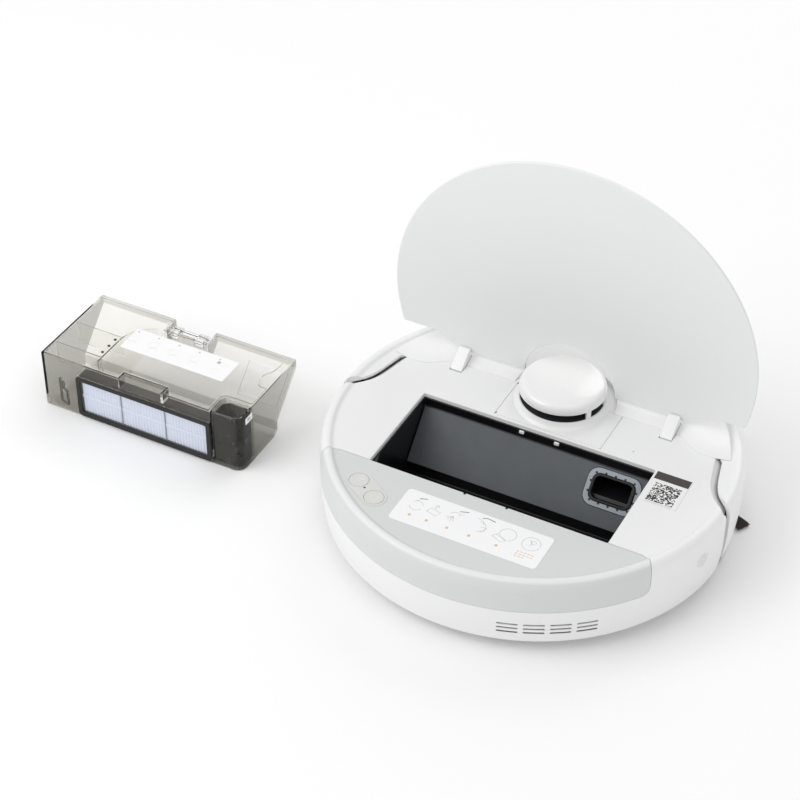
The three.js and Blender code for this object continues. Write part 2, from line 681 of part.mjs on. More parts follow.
// ---------------------------------------------------------------- dust bin
const binLeft = BIN.x - BIN.width / 2;
const binRight = BIN.x + BIN.width / 2;
const binNear = BIN.y - BIN.depth / 2;
const binFar = BIN.y + BIN.depth / 2;
const NOTCH = { x0: binLeft + 79, x1: binLeft + 121, y: binFar - 16 };
const GRIP = { x0: binLeft + 81, x1: binLeft + 123, y: binNear + 9, z: BIN.height - 9.5 };
const FILTER = { x0: binLeft + 36, x1: binLeft + 171.5, z0: 2.6, z1: 43.4, depth: 14 };
const WELL = { x: binRight - 30, y: binNear + 24, r: 6, cornerR: 9 };
const LID_T = 2;
const LID_Z = BIN.height - LID_T;
const BIN_HINGE = { y: NOTCH.y + 8, z: BIN.height - 3.4 };

function binSection(grow) {
  return [
    [binNear - grow, -grow],
    [binNear + 55 + 0.4 * grow, -grow],
    [binNear + 60.4 + grow, 4 - 0.4 * grow],
    [binNear + 60.4 + grow, 13.6 - 0.4 * grow],
    [binFar - 2 + 0.8 * grow, 47 - 0.4 * grow],
    [binFar + grow, 49.4],
    [binFar + grow, BIN.height],
    [binNear - grow, BIN.height],
  ];
}

// The plan of the bin, round at the well's corner; `grow` moves its walls out.
const binPlan = (grow) => [
  [binLeft - grow, binNear - grow],
  ...arcPoints(binRight - WELL.cornerR, binNear + WELL.cornerR, WELL.cornerR + grow, -90, 0, 6),
  [binRight + grow, binFar + grow],
  [binLeft - grow, binFar + grow],
];

// The plan of the closed well in the near right corner; `grow` moves its walls out.
const wellOutline = (grow) => [
  [binRight + 5, binNear - 5],
  [binRight + 5, WELL.y + grow],
  ...arcPoints(WELL.x + WELL.r - grow, WELL.y - WELL.r + grow, WELL.r, 90, 180, 5),
  [WELL.x - grow, binNear - 5],
];

// The plan of the lid, `inset` from the walls; its right edge waves round the inlet's chamber.
function binLidOutline(inset, farInset) {
  const [left, right, near, far] = [binLeft + inset, binRight - inset, binNear + inset, binFar - farInset];
  const wave = new THREE.SplineCurve([
    [-1, -44], [-8, -43.5], [-12, -38], [-12.5, -30], [-9, -24], [-7, -19], [-6, -10],
  ].map(([dx, dy]) => new THREE.Vector2(right + dx, binFar - inset + dy)));
  return [
    [left, near],
    [GRIP.x0 - inset, near],
    [GRIP.x0 - inset, GRIP.y + inset],
    [GRIP.x1 + inset, GRIP.y + inset],
    [GRIP.x1 + inset, near],
    [WELL.x - inset, near],
    ...arcPoints(WELL.x + WELL.r - inset, WELL.y - WELL.r + inset, WELL.r, 180, 90, 5),
    [right - 1, WELL.y + inset],
    ...wave.getPoints(14).map(({ x, y }) => [x, y]),
    [right - 6, far],
    [NOTCH.x1 + inset, far],
    [NOTCH.x1 + inset, NOTCH.y - inset],
    [NOTCH.x0 - inset, NOTCH.y - inset],
    [NOTCH.x0 - inset, far],
    [left, far],
  ];
}

const knuckleSpans = () => [[NOTCH.x0 + 4, NOTCH.x0 + 12], [NOTCH.x1 - 12, NOTCH.x1 - 4]];
const knuckleRoom = () => knuckleSpans().map(
  ([x0, x1]) => box(x0 - 0.6, x1 + 0.6, NOTCH.y - 4, NOTCH.y + 1, BIN.height - 8, 90),
);

function binShell() {
  const w = BIN.wall;
  const wellWall = cut(prism(wellOutline(0), 0, 90), prism(wellOutline(-w), -1, 91));
  const inside = prism(binPlan(-w), 0, 90);
  const chamber = cut(
    common(prismX(binSection(-w), binLeft + w, binRight - w), inside),
    box(NOTCH.x0 - w, NOTCH.x1 + w, NOTCH.y - w, binFar + 1, 0, 90),
    box(GRIP.x0 - w, GRIP.x1 + w, binNear - 1, GRIP.y + w, GRIP.z - w, 90),
    wellWall,
    box(binLeft - 1, binRight + 1, binNear - 1, binFar + 1, LID_Z, 90),
  );
  const wellMouth = common(prism(wellOutline(-w), LID_Z - 1, 90), inside);
  return cut(
    common(prismX(binSection(0), binLeft, binRight), prism(binPlan(0), -1, 90)),
    chamber,
    prism(binLidOutline(w, w), LID_Z - 1, 90),
    wellMouth,
    box(NOTCH.x0, NOTCH.x1, NOTCH.y, binFar + 1, 14, 90),
    box(GRIP.x0, GRIP.x1, binNear - 1, GRIP.y, GRIP.z, 90),
    box(FILTER.x0, FILTER.x1, binNear - 1, binNear + 4, FILTER.z0, FILTER.z1),
    box(binRight - 44, binRight - 6, binFar - 40, binFar + 1, 22, 44),
    ...knuckleRoom(),
  );
}

function binLid() {
  const knuckles = knuckleSpans().map(([x0, x1]) => join(
    rodX(2.6, x0, x1, BIN_HINGE.y, BIN_HINGE.z, 16),
    box(x0, x1, NOTCH.y - 3.2, BIN_HINGE.y, BIN_HINGE.z + 0.2, BIN.height - 0.2),
  ));
  return cut(
    join(prism(binLidOutline(BIN.wall + 0.4, 3.2), LID_Z, BIN.height), ...knuckles),
    rodX(1.5, NOTCH.x0 - 1, NOTCH.x1 + 1, BIN_HINGE.y, BIN_HINGE.z, 12),
  );
}

const binHingePin = () => rodX(1.15, NOTCH.x0 + GAP, NOTCH.x1 - GAP, BIN_HINGE.y, BIN_HINGE.z, 12);

// The curved wall that parts the filter chamber from the dust chamber, with two ribs to the left wall.
function binPartition() {
  const t = 1.2;
  const bend = (r) => arcPoints(binLeft + 80, NOTCH.y - 31, r, 180, 108, 8);
  const strip = [
    [binLeft + 49, binNear + 14.5],
    ...bend(31),
    ...bend(31 - t).reverse(),
    [binLeft + 49 + t, binNear + 14.5],
  ];
  const ribs = [binNear + 20.6, binNear + 52.6].map(
    (y) => box(binLeft + BIN.wall + 0.4, binLeft + 49 + t / 2, y - t / 2, y + t / 2, 34, LID_Z - 0.5),
  );
  return common(
    join(prism(strip, BIN.wall + 0.3, LID_Z - 0.5), ...ribs),
    prismX(binSection(-BIN.wall - 0.4), binLeft, binRight),
  );
}

function filterParts() {
  const { x0, x1, z0, z1, depth } = FILTER;
  const y = binNear;
  const rim = 3.4;
  const face = box(x0 + GAP, x1 - GAP, y + 0.6, y + depth, z0 + GAP, z1 - GAP);
  const room = box(x0 + rim, x1 - rim, y - 1, y + depth - 1.5, z0 + rim, z1 - rim);
  const behind = box(x0 + 6, x1 - 6, y + 8, y + depth + 1, z0 + 6, z1 - 6);
  const seal = cut(
    box(x0 - 0.9, x1 + 0.9, y - 1.5, y - 0.2, z0 - 0.9, z1 + 0.9),
    box(x0 + rim, x1 - rim, y - 3, y + 2, z0 + rim, z1 - rim),
  );
  const media = box(x0 + rim + GAP, x1 - rim - GAP, y + 1, y + depth - 2, z0 + rim + GAP, z1 - rim - GAP);
  return { frame: cut(face, room, behind), seal, media };
}

const FLAP = { x0: binRight - 43, x1: binRight - 7, hingeY: binFar - 5.6, hingeZ: 40 };

function inletFlap() {
  const along = new THREE.Vector2(binFar - 2 - (binNear + 60.4), 47 - 13.6).normalize();
  const length = 21;
  const base = [FLAP.hingeY - 5, FLAP.hingeZ - 2];
  const low = [base[0] - along.x * length, base[1] - along.y * length];
  const off = [-along.y * 1.2, along.x * 1.2];
  const section = [base, [base[0] + off[0], base[1] + off[1]], [low[0] + off[0], low[1] + off[1]], low];
  return prismX(section, FLAP.x0, FLAP.x1);
}

// ---------------------------------------------------------------- assembly
node('upper_housing', 'white', upperHousing());
node('rear_cover', 'frosted', rearCover());
node('front_cover', 'white', frontCrescent());
node('base_pan', 'white', basePan());

node('bumper_shell', 'white', bumperShell());
node('bumper_window', 'black', windowBand(BODY_R - 2.4, BODY_R - 0.5, 20.8, 49.8, 60.2));

const lid = new THREE.Group();
lid.position.set(0, HINGE.y, HINGE.z);
lid.rotation.x = rad(-LID.openDeg);
group.add(lid);
node('lid_panel', 'white', lidPanel().translate([0, -HINGE.y, -HINGE.z]), lid);
for (const [word, side] of [['left', -1], ['right', 1]]) {
  node(`hinge_arm_${word}`, 'white', hingeArm(side));
  node(`hinge_pin_${word}`, 'metal', hingePin(side));
}

node('bin_bay', 'black', binBay());
node('bay_sloped_panel', 'graphite', slopedPanel());
node('inlet_frame', 'paleGrey', ringOnSlope(0, INLET.ring, -1.6, GAP + 1.6));
node('inlet_seal', 'rubber', ringOnSlope(INLET.ring + 0.3, INLET.ring + INLET.seal, -1.2, GAP + 2.6));
for (const [i, x] of [-14.4, 17.3].entries()) {
  node(`bin_catch_${i + 1}`, 'white', box(x - 2.2, x + 2.2, BAY.y1 - 2.6, BAY.y1 - 0.9, 65.4, 68.2));
}

node('turret_plate', 'white', turretPlate());
node('turret_cap', 'white', turretCap());
node('lidar_head', 'black', lidarHead());
node('lidar_base', 'black', lidarBase());

const padPlan = pill(BUTTONS.ax, BUTTONS.ay, BUTTONS.bx, BUTTONS.by, BUTTONS.padR);
node('button_pad', 'frosted', cut(
  prism(padPlan, DECK_Z - COVER.t, DECK_Z + GAP),
  rod(BUTTONS.r + 0.25, 60, 90, BUTTONS.ax, BUTTONS.ay, 28),
  rod(BUTTONS.r + 0.25, 60, 90, BUTTONS.bx, BUTTONS.by, 28),
));

// A round button that stands a little proud of its pad.
function button(x, y) {
  const [foot, top, r] = [DECK_Z - 1.6, DECK_Z + 0.4, BUTTONS.r];
  return turned([[0, foot], [r, foot], [r, top - 0.4], [r - 0.8, top], [0, top]], x, y, 28);
}
node('network_button', 'frosted', button(BUTTONS.ax, BUTTONS.ay));
node('restart_button', 'frosted', button(BUTTONS.bx, BUTTONS.by));

const deckLabel = (...edges) => prism(roundedRect(...edges), DECK_Z + TOUCH, DECK_Z + TOUCH + 0.3);
node('guide_label', 'label', deckLabel(-60.8, 67, -139.6, -101, 3.4));
node('code_label', 'label', deckLabel(106, 136.6, -27, 11.8, 1));

node('speaker_grille', 'paleGrey', speakerPlug(SPEAKER.r, BODY_R - 3.2, BODY_R - 0.6));
node('exhaust_insert', 'black', common(
  ringTurned([[166.4, 20], [168.4, 20], [169.4, 36], [167.4, 36]]),
  prism([[0, 0], ...arcPoints(0, 0, 220, -77, -44, 4)], 10, 40),
));

node('battery', 'black', box(-84, 2, -140, -92, 14, 50));
node('main_board', 'board', box(-62, 62, 88, 138, 52, 53.6));
node('fan_housing', 'graphite', fanHousing());
node('fan_impeller', 'graphite', fanImpeller());
node('brush_tunnel', 'graphite', brushTunnel());
node('suction_duct', 'graphite', suctionDuct());
node('main_brush', 'rubber', mainBrush());
node('brush_frame', 'graphite', brushFrame());
node('side_brush_motor', 'graphite', rod(13, 12.2, 44, SIDE_BRUSH.x, SIDE_BRUSH.y));
node('side_brush_hub', 'graphite', sideBrushHub());
for (const [i, turn] of [0, 120, 240].entries()) {
  node(`side_brush_tuft_${i + 1}`, 'bristle', sideBrushTuft(turn));
}
node('caster_fork', 'graphite', casterFork());
node('caster_roller', 'rubber', casterRoller());
for (const [word, side] of [['left', -1], ['right', 1]]) {
  node(`wheel_arm_${word}`, 'graphite', wheelArm(side));
  node(`wheel_hub_${word}`, 'paleGrey', wheelHub(side));
  node(`wheel_tyre_${word}`, 'rubber', tyre(side));
  const strip = box(side * 32 - 11, side * 32 + 11, 136, 143, PAN_Z - 0.7, PAN_Z - TOUCH);
  node(`charge_contact_${word}`, 'metal', strip);
}

const filter = filterParts();
node('bin_shell', 'smoke', binShell());
node('bin_lid', 'smoke', binLid());
node('bin_hinge_pin', 'metal', binHingePin());
node('bin_partition', 'smoke', binPartition());
node('filter_frame', 'graphite', filter.frame);
node('filter_seal', 'rubber', filter.seal);
node('filter_media', 'pleat', filter.media);
node('inlet_flap', 'smoke', inletFlap());
node('bin_label', 'label', prism(
  roundedRect(binLeft + 56.5, binLeft + 161.5, binNear + 38.6, binNear + 68, 1.5),
  BIN.height + TOUCH, BIN.height + TOUCH + 0.3,
));

export default group;
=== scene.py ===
import json
import math
import random

import bmesh
import bpy
from mathutils import Matrix, Vector


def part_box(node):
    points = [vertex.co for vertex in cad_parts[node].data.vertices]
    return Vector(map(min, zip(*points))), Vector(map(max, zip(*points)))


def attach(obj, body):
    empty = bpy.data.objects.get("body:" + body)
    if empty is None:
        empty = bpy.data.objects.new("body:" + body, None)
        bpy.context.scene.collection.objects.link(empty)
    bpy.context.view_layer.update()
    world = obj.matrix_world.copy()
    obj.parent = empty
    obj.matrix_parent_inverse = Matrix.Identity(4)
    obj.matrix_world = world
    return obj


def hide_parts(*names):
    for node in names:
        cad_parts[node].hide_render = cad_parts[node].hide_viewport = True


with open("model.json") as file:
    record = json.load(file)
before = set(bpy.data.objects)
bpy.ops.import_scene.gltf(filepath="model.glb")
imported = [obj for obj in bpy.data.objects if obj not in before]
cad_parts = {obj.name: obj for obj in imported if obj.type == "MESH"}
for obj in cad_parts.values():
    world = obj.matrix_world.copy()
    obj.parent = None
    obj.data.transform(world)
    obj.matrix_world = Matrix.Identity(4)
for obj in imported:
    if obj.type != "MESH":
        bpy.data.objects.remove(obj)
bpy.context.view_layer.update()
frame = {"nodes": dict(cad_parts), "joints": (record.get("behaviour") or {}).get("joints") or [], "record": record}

MM = 0.001

# ------------------------------------------------------------------ sizes read from the frame, in mm
# Lengths below are in millimetres from the middle of the robot's round plan, as in the CAD source.
CENTRE_X = (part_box("base_pan")[0].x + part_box("base_pan")[1].x) / 2 / MM


def span_mm(node, axis):
    """The lowest and highest coordinate of a CAD node along an axis, in the robot's own millimetres."""
    low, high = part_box(node)
    shift = CENTRE_X if axis == 0 else 0.0
    return low[axis] / MM - shift, high[axis] / MM - shift


BODY_R = (span_mm("bumper_shell", 0)[1] - span_mm("bumper_shell", 0)[0]) / 2
RIM_Z = span_mm("upper_housing", 2)[1]
WALL_FOOT_Z = span_mm("upper_housing", 2)[0]
DECK_Z = RIM_Z - 3.0
DECK_R = BODY_R - 12.4
SKIN = 4.0
GAP = 0.3
COVER_T = 1.9
COVER_FOOT_Z = span_mm("rear_cover", 2)[0]
BAY_Y0 = -85.4
CREST_Z = span_mm("front_cover", 2)[1]
CREST_Y = 71.0
TURRET_X = sum(span_mm("turret_cap", 0)) / 2
TURRET_Y = sum(span_mm("turret_cap", 1)) / 2
TURRET_R = (span_mm("turret_cap", 0)[1] - span_mm("turret_cap", 0)[0]) / 2
TURRET_TOP = span_mm("turret_cap", 2)[1]
BAND_LOW = span_mm("turret_plate", 2)[1]
BAND_HIGH = BAND_LOW + 7.6
HINGE = next(j for j in frame["joints"] if j["name"] == "lid_hinge")
HINGE_Y, HINGE_Z = HINGE["pos_m"][1] / MM, HINGE["pos_m"][2] / MM
LID_OPEN = HINGE["range_deg"][1]
ARM_X = -sum(span_mm("hinge_arm_left", 0)) / 2
ARM_HALF = (span_mm("hinge_arm_left", 0)[1] - span_mm("hinge_arm_left", 0)[0]) / 2
BIN_X1 = span_mm("bin_shell", 0)[1]
BIN_Y0 = span_mm("bin_shell", 1)[0]
BIN_TOP = span_mm("bin_shell", 2)[1]


# ------------------------------------------------------------------ mesh tools
def point(x, y, z):
    return Vector(((x + CENTRE_X) * MM, y * MM, z * MM))


def new_piece(name, verts, faces):
    mesh = bpy.data.meshes.new(name)
    mesh.from_pydata([point(*v) for v in verts], [], faces)
    piece = bpy.data.objects.new(name, mesh)
    bpy.context.scene.collection.objects.link(piece)
    face_out(piece)
    return piece


def face_out(piece):
    bm = bmesh.new()
    bm.from_mesh(piece.data)
    bmesh.ops.recalc_face_normals(bm, faces=bm.faces)
    bm.to_mesh(piece.data)
    bm.free()


def lathe(name, profile, x=0.0, y=0.0, steps=216, closed=False):
    """A profile of (radius, height) turned about an upright axis, closed on itself or on the axis."""
    verts, rings = [], []
    for r, z in profile:
        if r < 1e-6:
            rings.append([len(verts)] * steps)
            verts.append((x, y, z))
            continue
        rings.append([len(verts) + i for i in range(steps)])
        for i in range(steps):
            a = 2 * math.pi * i / steps
            verts.append((x + r * math.cos(a), y + r * math.sin(a), z))
    pairs = list(zip(rings, rings[1:]))
    if closed:
        pairs.append((rings[-1], rings[0]))
    faces = []
    for lower, upper in pairs:
        for i in range(steps):
            k = (i + 1) % steps
            corners = [lower[i], lower[k], upper[k], upper[i]]
            face = [v for n, v in enumerate(corners) if v not in corners[:n]]
            if len(face) > 2:
                faces.append(face)
    return new_piece(name, verts, faces)


def prism(name, outline, z0, z1):
    n = len(outline)
    verts = [(x, y, z0) for x, y in outline] + [(x, y, z1) for x, y in outline]
    sides = [[i, (i + 1) % n, n + (i + 1) % n, n + i] for i in range(n)]
    return new_piece(name, verts, [list(range(n)), list(range(n, 2 * n))] + sides)


def prism_x(name, outline, x0, x1):
    """An outline of (y, z) points carried along X."""
    n = len(outline)
    verts = [(x0, y, z) for y, z in outline] + [(x1, y, z) for y, z in outline]
    sides = [[i, (i + 1) % n, n + (i + 1) % n, n + i] for i in range(n)]
    return new_piece(name, verts, [list(range(n)), list(range(n, 2 * n))] + sides)


def prism_y(name, outline, y0, y1):
    """An outline of (x, z) points carried along Y."""
    n = len(outline)
    verts = [(x, y0, z) for x, z in outline] + [(x, y1, z) for x, z in outline]
    sides = [[i, (i + 1) % n, n + (i + 1) % n, n + i] for i in range(n)]
    return new_piece(name, verts, [list(range(n)), list(range(n, 2 * n))] + sides)


def block(name, x0, x1, y0, y1, z0, z1):
    return prism(name, [(x0, y0), (x1, y0), (x1, y1), (x0, y1)], z0, z1)


def bake(piece):
    depsgraph = bpy.context.evaluated_depsgraph_get()
    made = bpy.data.meshes.new_from_object(piece.evaluated_get(depsgraph))
    piece.modifiers.clear()
    piece.data = made
    return piece


def combine(piece, tool, how):
    modifier = piece.modifiers.new(how, "BOOLEAN")
    modifier.operation = how
    modifier.object = tool
    modifier.solver = "EXACT"
    bake(piece)
    bpy.data.objects.remove(tool)
    return piece


def cut(piece, *tools):
    for tool in tools:
        combine(piece, tool, "DIFFERENCE")
    return piece


def common(piece, tool):
    return combine(piece, tool, "INTERSECT")


def merge(name, pieces):
    """Several meshes as one, without joining their surfaces."""
    bm = bmesh.new()
    for piece in pieces:
        bm.from_mesh(piece.data)
    mesh = bpy.data.meshes.new(name)
    bm.to_mesh(mesh)
    bm.free()
    made = bpy.data.objects.new(name, mesh)
    bpy.context.scene.collection.objects.link(made)
    for piece in pieces:
        bpy.data.objects.remove(piece)
    return made


def shade(piece, angle=34.0):
    """Smooth shading that large flat faces keep flat."""
    piece.data.shade_smooth()
    piece.data.set_sharp_from_angle(angle=math.radians(angle))
    weighted = piece.modifiers.new("normals", "WEIGHTED_NORMAL")
    weighted.keep_sharp = True
    return piece


def soften(piece, width, segments=2, angle=34.0):
    """Rounds every edge sharper than the angle, in mm, and shades the rest smooth."""
    bevel = piece.modifiers.new("edges", "BEVEL")
    bevel.width = width * MM
    bevel.segments = segments
    bevel.limit_method = "ANGLE"
    bevel.angle_limit = math.radians(angle)
    bevel.use_clamp_overlap = False
    bevel.miter_outer = "MITER_ARC"
    return shade(bake(piece), angle + 6)


def cad_copy(node, name, *planes):
    """A new mesh from a CAD node's, its flat faces made whole so that their edges can be rounded.

    It is first split through its middle, and at any further (axis, mm) planes, so that no face rings a hole.
    """
    bm = bmesh.new()
    bm.from_mesh(frame["nodes"][node].data)
    bmesh.ops.remove_doubles(bm, verts=bm.verts, dist=1e-6)
    middles = [(axis, sum(span_mm(node, axis)) / 2) for axis in range(3)]
    for axis, at in middles + list(planes):
        on = point(*[at if k == axis else 0.0 for k in range(3)])
        across = [float(k == axis) for k in range(3)]
        whole = bm.verts[:] + bm.edges[:] + bm.faces[:]
        made = bmesh.ops.bisect_plane(bm, geom=whole, dist=1e-7, plane_co=on, plane_no=across)
        for item in made["geom_cut"]:
            if isinstance(item, bmesh.types.BMEdge):
                item.seam = True
    bmesh.ops.dissolve_limit(
        bm, angle_limit=math.radians(0.6), verts=bm.verts, edges=bm.edges, delimit={"SEAM"},
    )
    mesh = bpy.data.meshes.new(name)
    bm.to_mesh(mesh)
    bm.free()
    piece = bpy.data.objects.new(name, mesh)
    bpy.context.scene.collection.objects.link(piece)
    return piece


def turn(piece, degrees, axis, through):
    """Turns a piece's mesh about an axis through a point given in mm."""
    centre = point(*through)
    matrix = Matrix.Translation(centre) @ Matrix.Rotation(math.radians(degrees), 4, axis)
    piece.data.transform(matrix @ Matrix.Translation(-centre))
    return piece


def arc(cx, cy, r, start, end, steps):
    angles = [math.radians(start + (end - start) * i / steps) for i in range(steps + 1)]
    return [(cx + r * math.cos(a), cy + r * math.sin(a)) for a in angles]


def rounded_rect(x0, x1, y0, y1, r, steps=5):
    return (
        arc(x1 - r, y0 + r, r, -90, 0, steps)
        + arc(x1 - r, y1 - r, r, 0, 90, steps)
        + arc(x0 + r, y1 - r, r, 90, 180, steps)
        + arc(x0 + r, y0 + r, r, 180, 270, steps)
    )


def pill(ax, ay, bx, by, r, steps=14):
    along = math.degrees(math.atan2(by - ay, bx - ax))
    return arc(bx, by, r, along - 90, along + 90, steps) + arc(ax, ay, r, along + 90, along + 270, steps)


def grown(outline, by):
    """The outline moved outwards by `by`, or inwards if it is negative, its corners kept sharp."""
    n = len(outline)
    area = sum(outline[i - 1][0] * outline[i][1] - outline[i][0] * outline[i - 1][1] for i in range(n))
    by = by if area > 0 else -by
    out = []
    for i, (x, y) in enumerate(outline):
        before = Vector((x - outline[i - 1][0], y - outline[i - 1][1])).normalized()
        after = Vector((outline[(i + 1) % n][0] - x, outline[(i + 1) % n][1] - y)).normalized()
        across = Vector((before.y + after.y, -before.x - after.x)).normalized()
        reach = by / max(across.dot(Vector((after.y, -after.x))), 0.35)
        out.append((x + across.x * reach, y + across.y * reach))
    return out


def quarter(r, steps=4):
    """Steps round a rounded edge of radius r: how far it has opened, and how far below the top it is."""
    turns = [math.pi / 2 * i / steps for i in range(steps + 1)]
    return [(r * (1 - math.cos(a)), r * (1 - math.sin(a))) for a in turns]


def flared(name, outline, low, top, r):
    """A cutter whose mouth opens by r at `top`, which leaves the edge of the hole rounded."""
    levels = [(0.0, low)] + [(open_by, top - under) for open_by, under in quarter(r)] + [(r, top + 12)]
    n = len(outline)
    verts = [(x, y, z) for open_by, z in levels for x, y in grown(outline, open_by)]
    faces = [list(range(n)), list(range(n * (len(levels) - 1), n * len(levels)))]
    for level in range(len(levels) - 1):
        base = n * level
        faces += [[base + i, base + (i + 1) % n, base + n + (i + 1) % n, base + n + i] for i in range(n)]
    return new_piece(name, verts, faces)


def flared_bore(name, r, x, y, low, top, lip):
    profile = [(0, low), (r, low)] + [(r + open_by, top - under) for open_by, under in quarter(lip)]
    return lathe(name, profile + [(r + lip, top + 12), (0, top + 12)], x, y, 96)


def mirrored(points):
    return [(-x, y) for x, y in reversed(points)]


def eased(points, per=4):
    """A smooth line through a profile's points (Catmull-Rom)."""
    out = []
    for i in range(len(points) - 1):
        p0, p1 = points[max(i - 1, 0)], points[i]
        p2, p3 = points[i + 1], points[min(i + 2, len(points) - 1)]
        for k in range(per):
            t = k / per
            out.append(tuple(
                0.5 * (
                    2 * b + (c - a) * t + (2 * a - 5 * b + 4 * c - d) * t * t
                    + (3 * b - a - 3 * c + d) * t ** 3
                )
                for a, b, c, d in zip(p0, p1, p2, p3)
            ))
    return out + [points[-1]]


def ride(piece, body, slot, *nodes):
    """Puts a finished piece on its body and hides the CAD nodes it stands for; the record's slot is not used."""
    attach(piece, body)
    if nodes:
        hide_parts(*nodes)
    return piece


# ------------------------------------------------------------------ materials
def shader(name):
    material = bpy.data.materials.new(name)
    material.use_nodes = True
    return material, material.node_tree, material.node_tree.nodes["Principled BSDF"]


def add(tree, kind, **inputs):
    made = tree.nodes.new(kind)
    for key, value in inputs.items():
        made.inputs[key.replace("_", " ")].default_value = value
    return made


def object_noise(tree, scale, detail=3.0):
    coords = tree.nodes.new("ShaderNodeTexCoord")
    noise = add(tree, "ShaderNodeTexNoise", Scale=scale, Detail=detail)
    tree.links.new(coords.outputs["Object"], noise.inputs["Vector"])
    return noise.outputs["Fac"]


def ranged(tree, value, low, high):
    made = tree.nodes.new("ShaderNodeMapRange")
    made.inputs["From Min"].default_value = 0.3
    made.inputs["From Max"].default_value = 0.7
    made.inputs["To Min"].default_value = low
    made.inputs["To Max"].default_value = high
    tree.links.new(value, made.inputs["Value"])
    return made.outputs["Result"]


def two_tone(tree, value, dark, light):
    """A colour that wanders between two close shades."""
    mix = tree.nodes.new("ShaderNodeMix")
    mix.data_type = "RGBA"
    mix.inputs[6].default_value = (*dark, 1)
    mix.inputs[7].default_value = (*light, 1)
    tree.links.new(value, mix.inputs["Factor"])
    return mix.outputs[2]


def grain(tree, bsdf, scale, strength, distance=0.0001):
    """Fine moulded texture as bump."""
    bump = add(tree, "ShaderNodeBump", Strength=strength, Distance=distance)
    tree.links.new(object_noise(tree, scale, 2.0), bump.inputs["Height"])
    tree.links.new(bump.outputs["Normal"], bsdf.inputs["Normal"])


def plastic(name, colour, rough, spread=0.02, grain_scale=1400, grain_strength=0.06, coat=0.0):
    material, tree, bsdf = shader(name)
    patches = object_noise(tree, 14.0)
    dark = [c * (1 - spread) for c in colour]
    tree.links.new(two_tone(tree, patches, dark, colour), bsdf.inputs["Base Color"])
    wear = ranged(tree, object_noise(tree, 60.0, 5.0), rough * 0.88, rough * 1.12)
    tree.links.new(wear, bsdf.inputs["Roughness"])
    grain(tree, bsdf, grain_scale, grain_strength)
    bsdf.inputs["Coat Weight"].default_value = coat
    bsdf.inputs["Coat Roughness"].default_value = 0.08
    return material


def metal(name, colour, rough):
    material = plastic(name, colour, rough, 0.06, 2600, 0.12)
    material.node_tree.nodes["Principled BSDF"].inputs["Metallic"].default_value = 1.0
    return material


def smoky(name, tint, rough, clear=1.0):
    """Smoky clear plastic: each wall keeps back a share of the light that goes through it."""
    material, tree, bsdf = shader(name)
    denser = [c * 0.975 for c in tint]
    tree.links.new(two_tone(tree, object_noise(tree, 18.0), denser, tint), bsdf.inputs["Base Color"])
    bsdf.inputs["Transmission Weight"].default_value = clear
    bsdf.inputs["IOR"].default_value = 1.17
    tree.links.new(ranged(tree, object_noise(tree, 90.0), rough * 0.7, rough * 1.3), bsdf.inputs["Roughness"])
    grain(tree, bsdf, 700, 0.03)
    return material


def pleated(name):
    material, tree, bsdf = shader(name)
    fibres = object_noise(tree, 2600, 6.0)
    tree.links.new(two_tone(tree, fibres, (0.60, 0.64, 0.76), (0.78, 0.81, 0.92)), bsdf.inputs["Base Color"])
    bsdf.inputs["Roughness"].default_value = 0.9
    grain(tree, bsdf, 1800, 0.35)
    return material


def frosted(name, colour, crest):
    """Frosted plastic, paler towards the top of the body's rim: a painted highlight where the rim's crest catches
    the light.
    """
    material = plastic(name, colour, 0.44, 0.02, 2200, 0.16)
    tree, bsdf = material.node_tree, material.node_tree.nodes["Principled BSDF"]
    coords = tree.nodes.new("ShaderNodeTexCoord")
    height = tree.nodes.new("ShaderNodeSeparateXYZ")
    tree.links.new(coords.outputs["Object"], height.inputs["Vector"])
    # painted highlight: the colour turns to the paler crest colour as the rim rises to its top
    rim_highlight_rise = tree.nodes.new("ShaderNodeMapRange")
    rim_highlight_rise.interpolation_type = "SMOOTHSTEP"
    rim_highlight_rise.inputs["From Min"].default_value = (DECK_Z + 0.6) * MM
    rim_highlight_rise.inputs["From Max"].default_value = (RIM_Z - 0.5) * MM
    tree.links.new(height.outputs["Z"], rim_highlight_rise.inputs["Value"])
    mix = tree.nodes.new("ShaderNodeMix")
    mix.data_type = "RGBA"
    tree.links.new(rim_highlight_rise.outputs["Result"], mix.inputs["Factor"])
    tree.links.new(bsdf.inputs["Base Color"].links[0].from_socket, mix.inputs[6])
    mix.inputs[7].default_value = (*crest, 1)
    tree.links.new(mix.outputs[2], bsdf.inputs["Base Color"])
    return material


WHITE = plastic("white_gloss", (0.86, 0.865, 0.86), 0.34, 0.012, coat=0.15)
WALL_WHITE = plastic("white_satin", (0.84, 0.845, 0.84), 0.42, 0.015, 1800, 0.10)
# The frosted cover's pale rim band is a painted highlight.
FROSTED = frosted("frosted_grey", (0.675, 0.695, 0.69), (0.80, 0.81, 0.805))
PAD_GREY = plastic("pad_warm_grey", (0.70, 0.70, 0.675), 0.5, 0.02, 2200, 0.12)
LID_WHITE = plastic("lid_satin", (0.845, 0.86, 0.855), 0.5, 0.012, 2000, 0.10)
CAP_WHITE = plastic("cap_high_gloss", (0.87, 0.87, 0.865), 0.12, 0.008, 1400, 0.02, coat=0.6)
BAY_BLACK = plastic("bay_black", (0.006, 0.006, 0.008), 0.34, 0.3, 1600, 0.10)
SLOPE_GREY = plastic("slope_graphite", (0.085, 0.095, 0.105), 0.5, 0.10, 1500, 0.14)
INLET_GREY = plastic("inlet_frame_grey", (0.36, 0.40, 0.44), 0.45, 0.05)
FRAME_GREY = plastic("filter_frame_grey", (0.15, 0.145, 0.135), 0.5, 0.1)
RUBBER = plastic("black_rubber", (0.012, 0.012, 0.013), 0.62, 0.25, 900, 0.25)
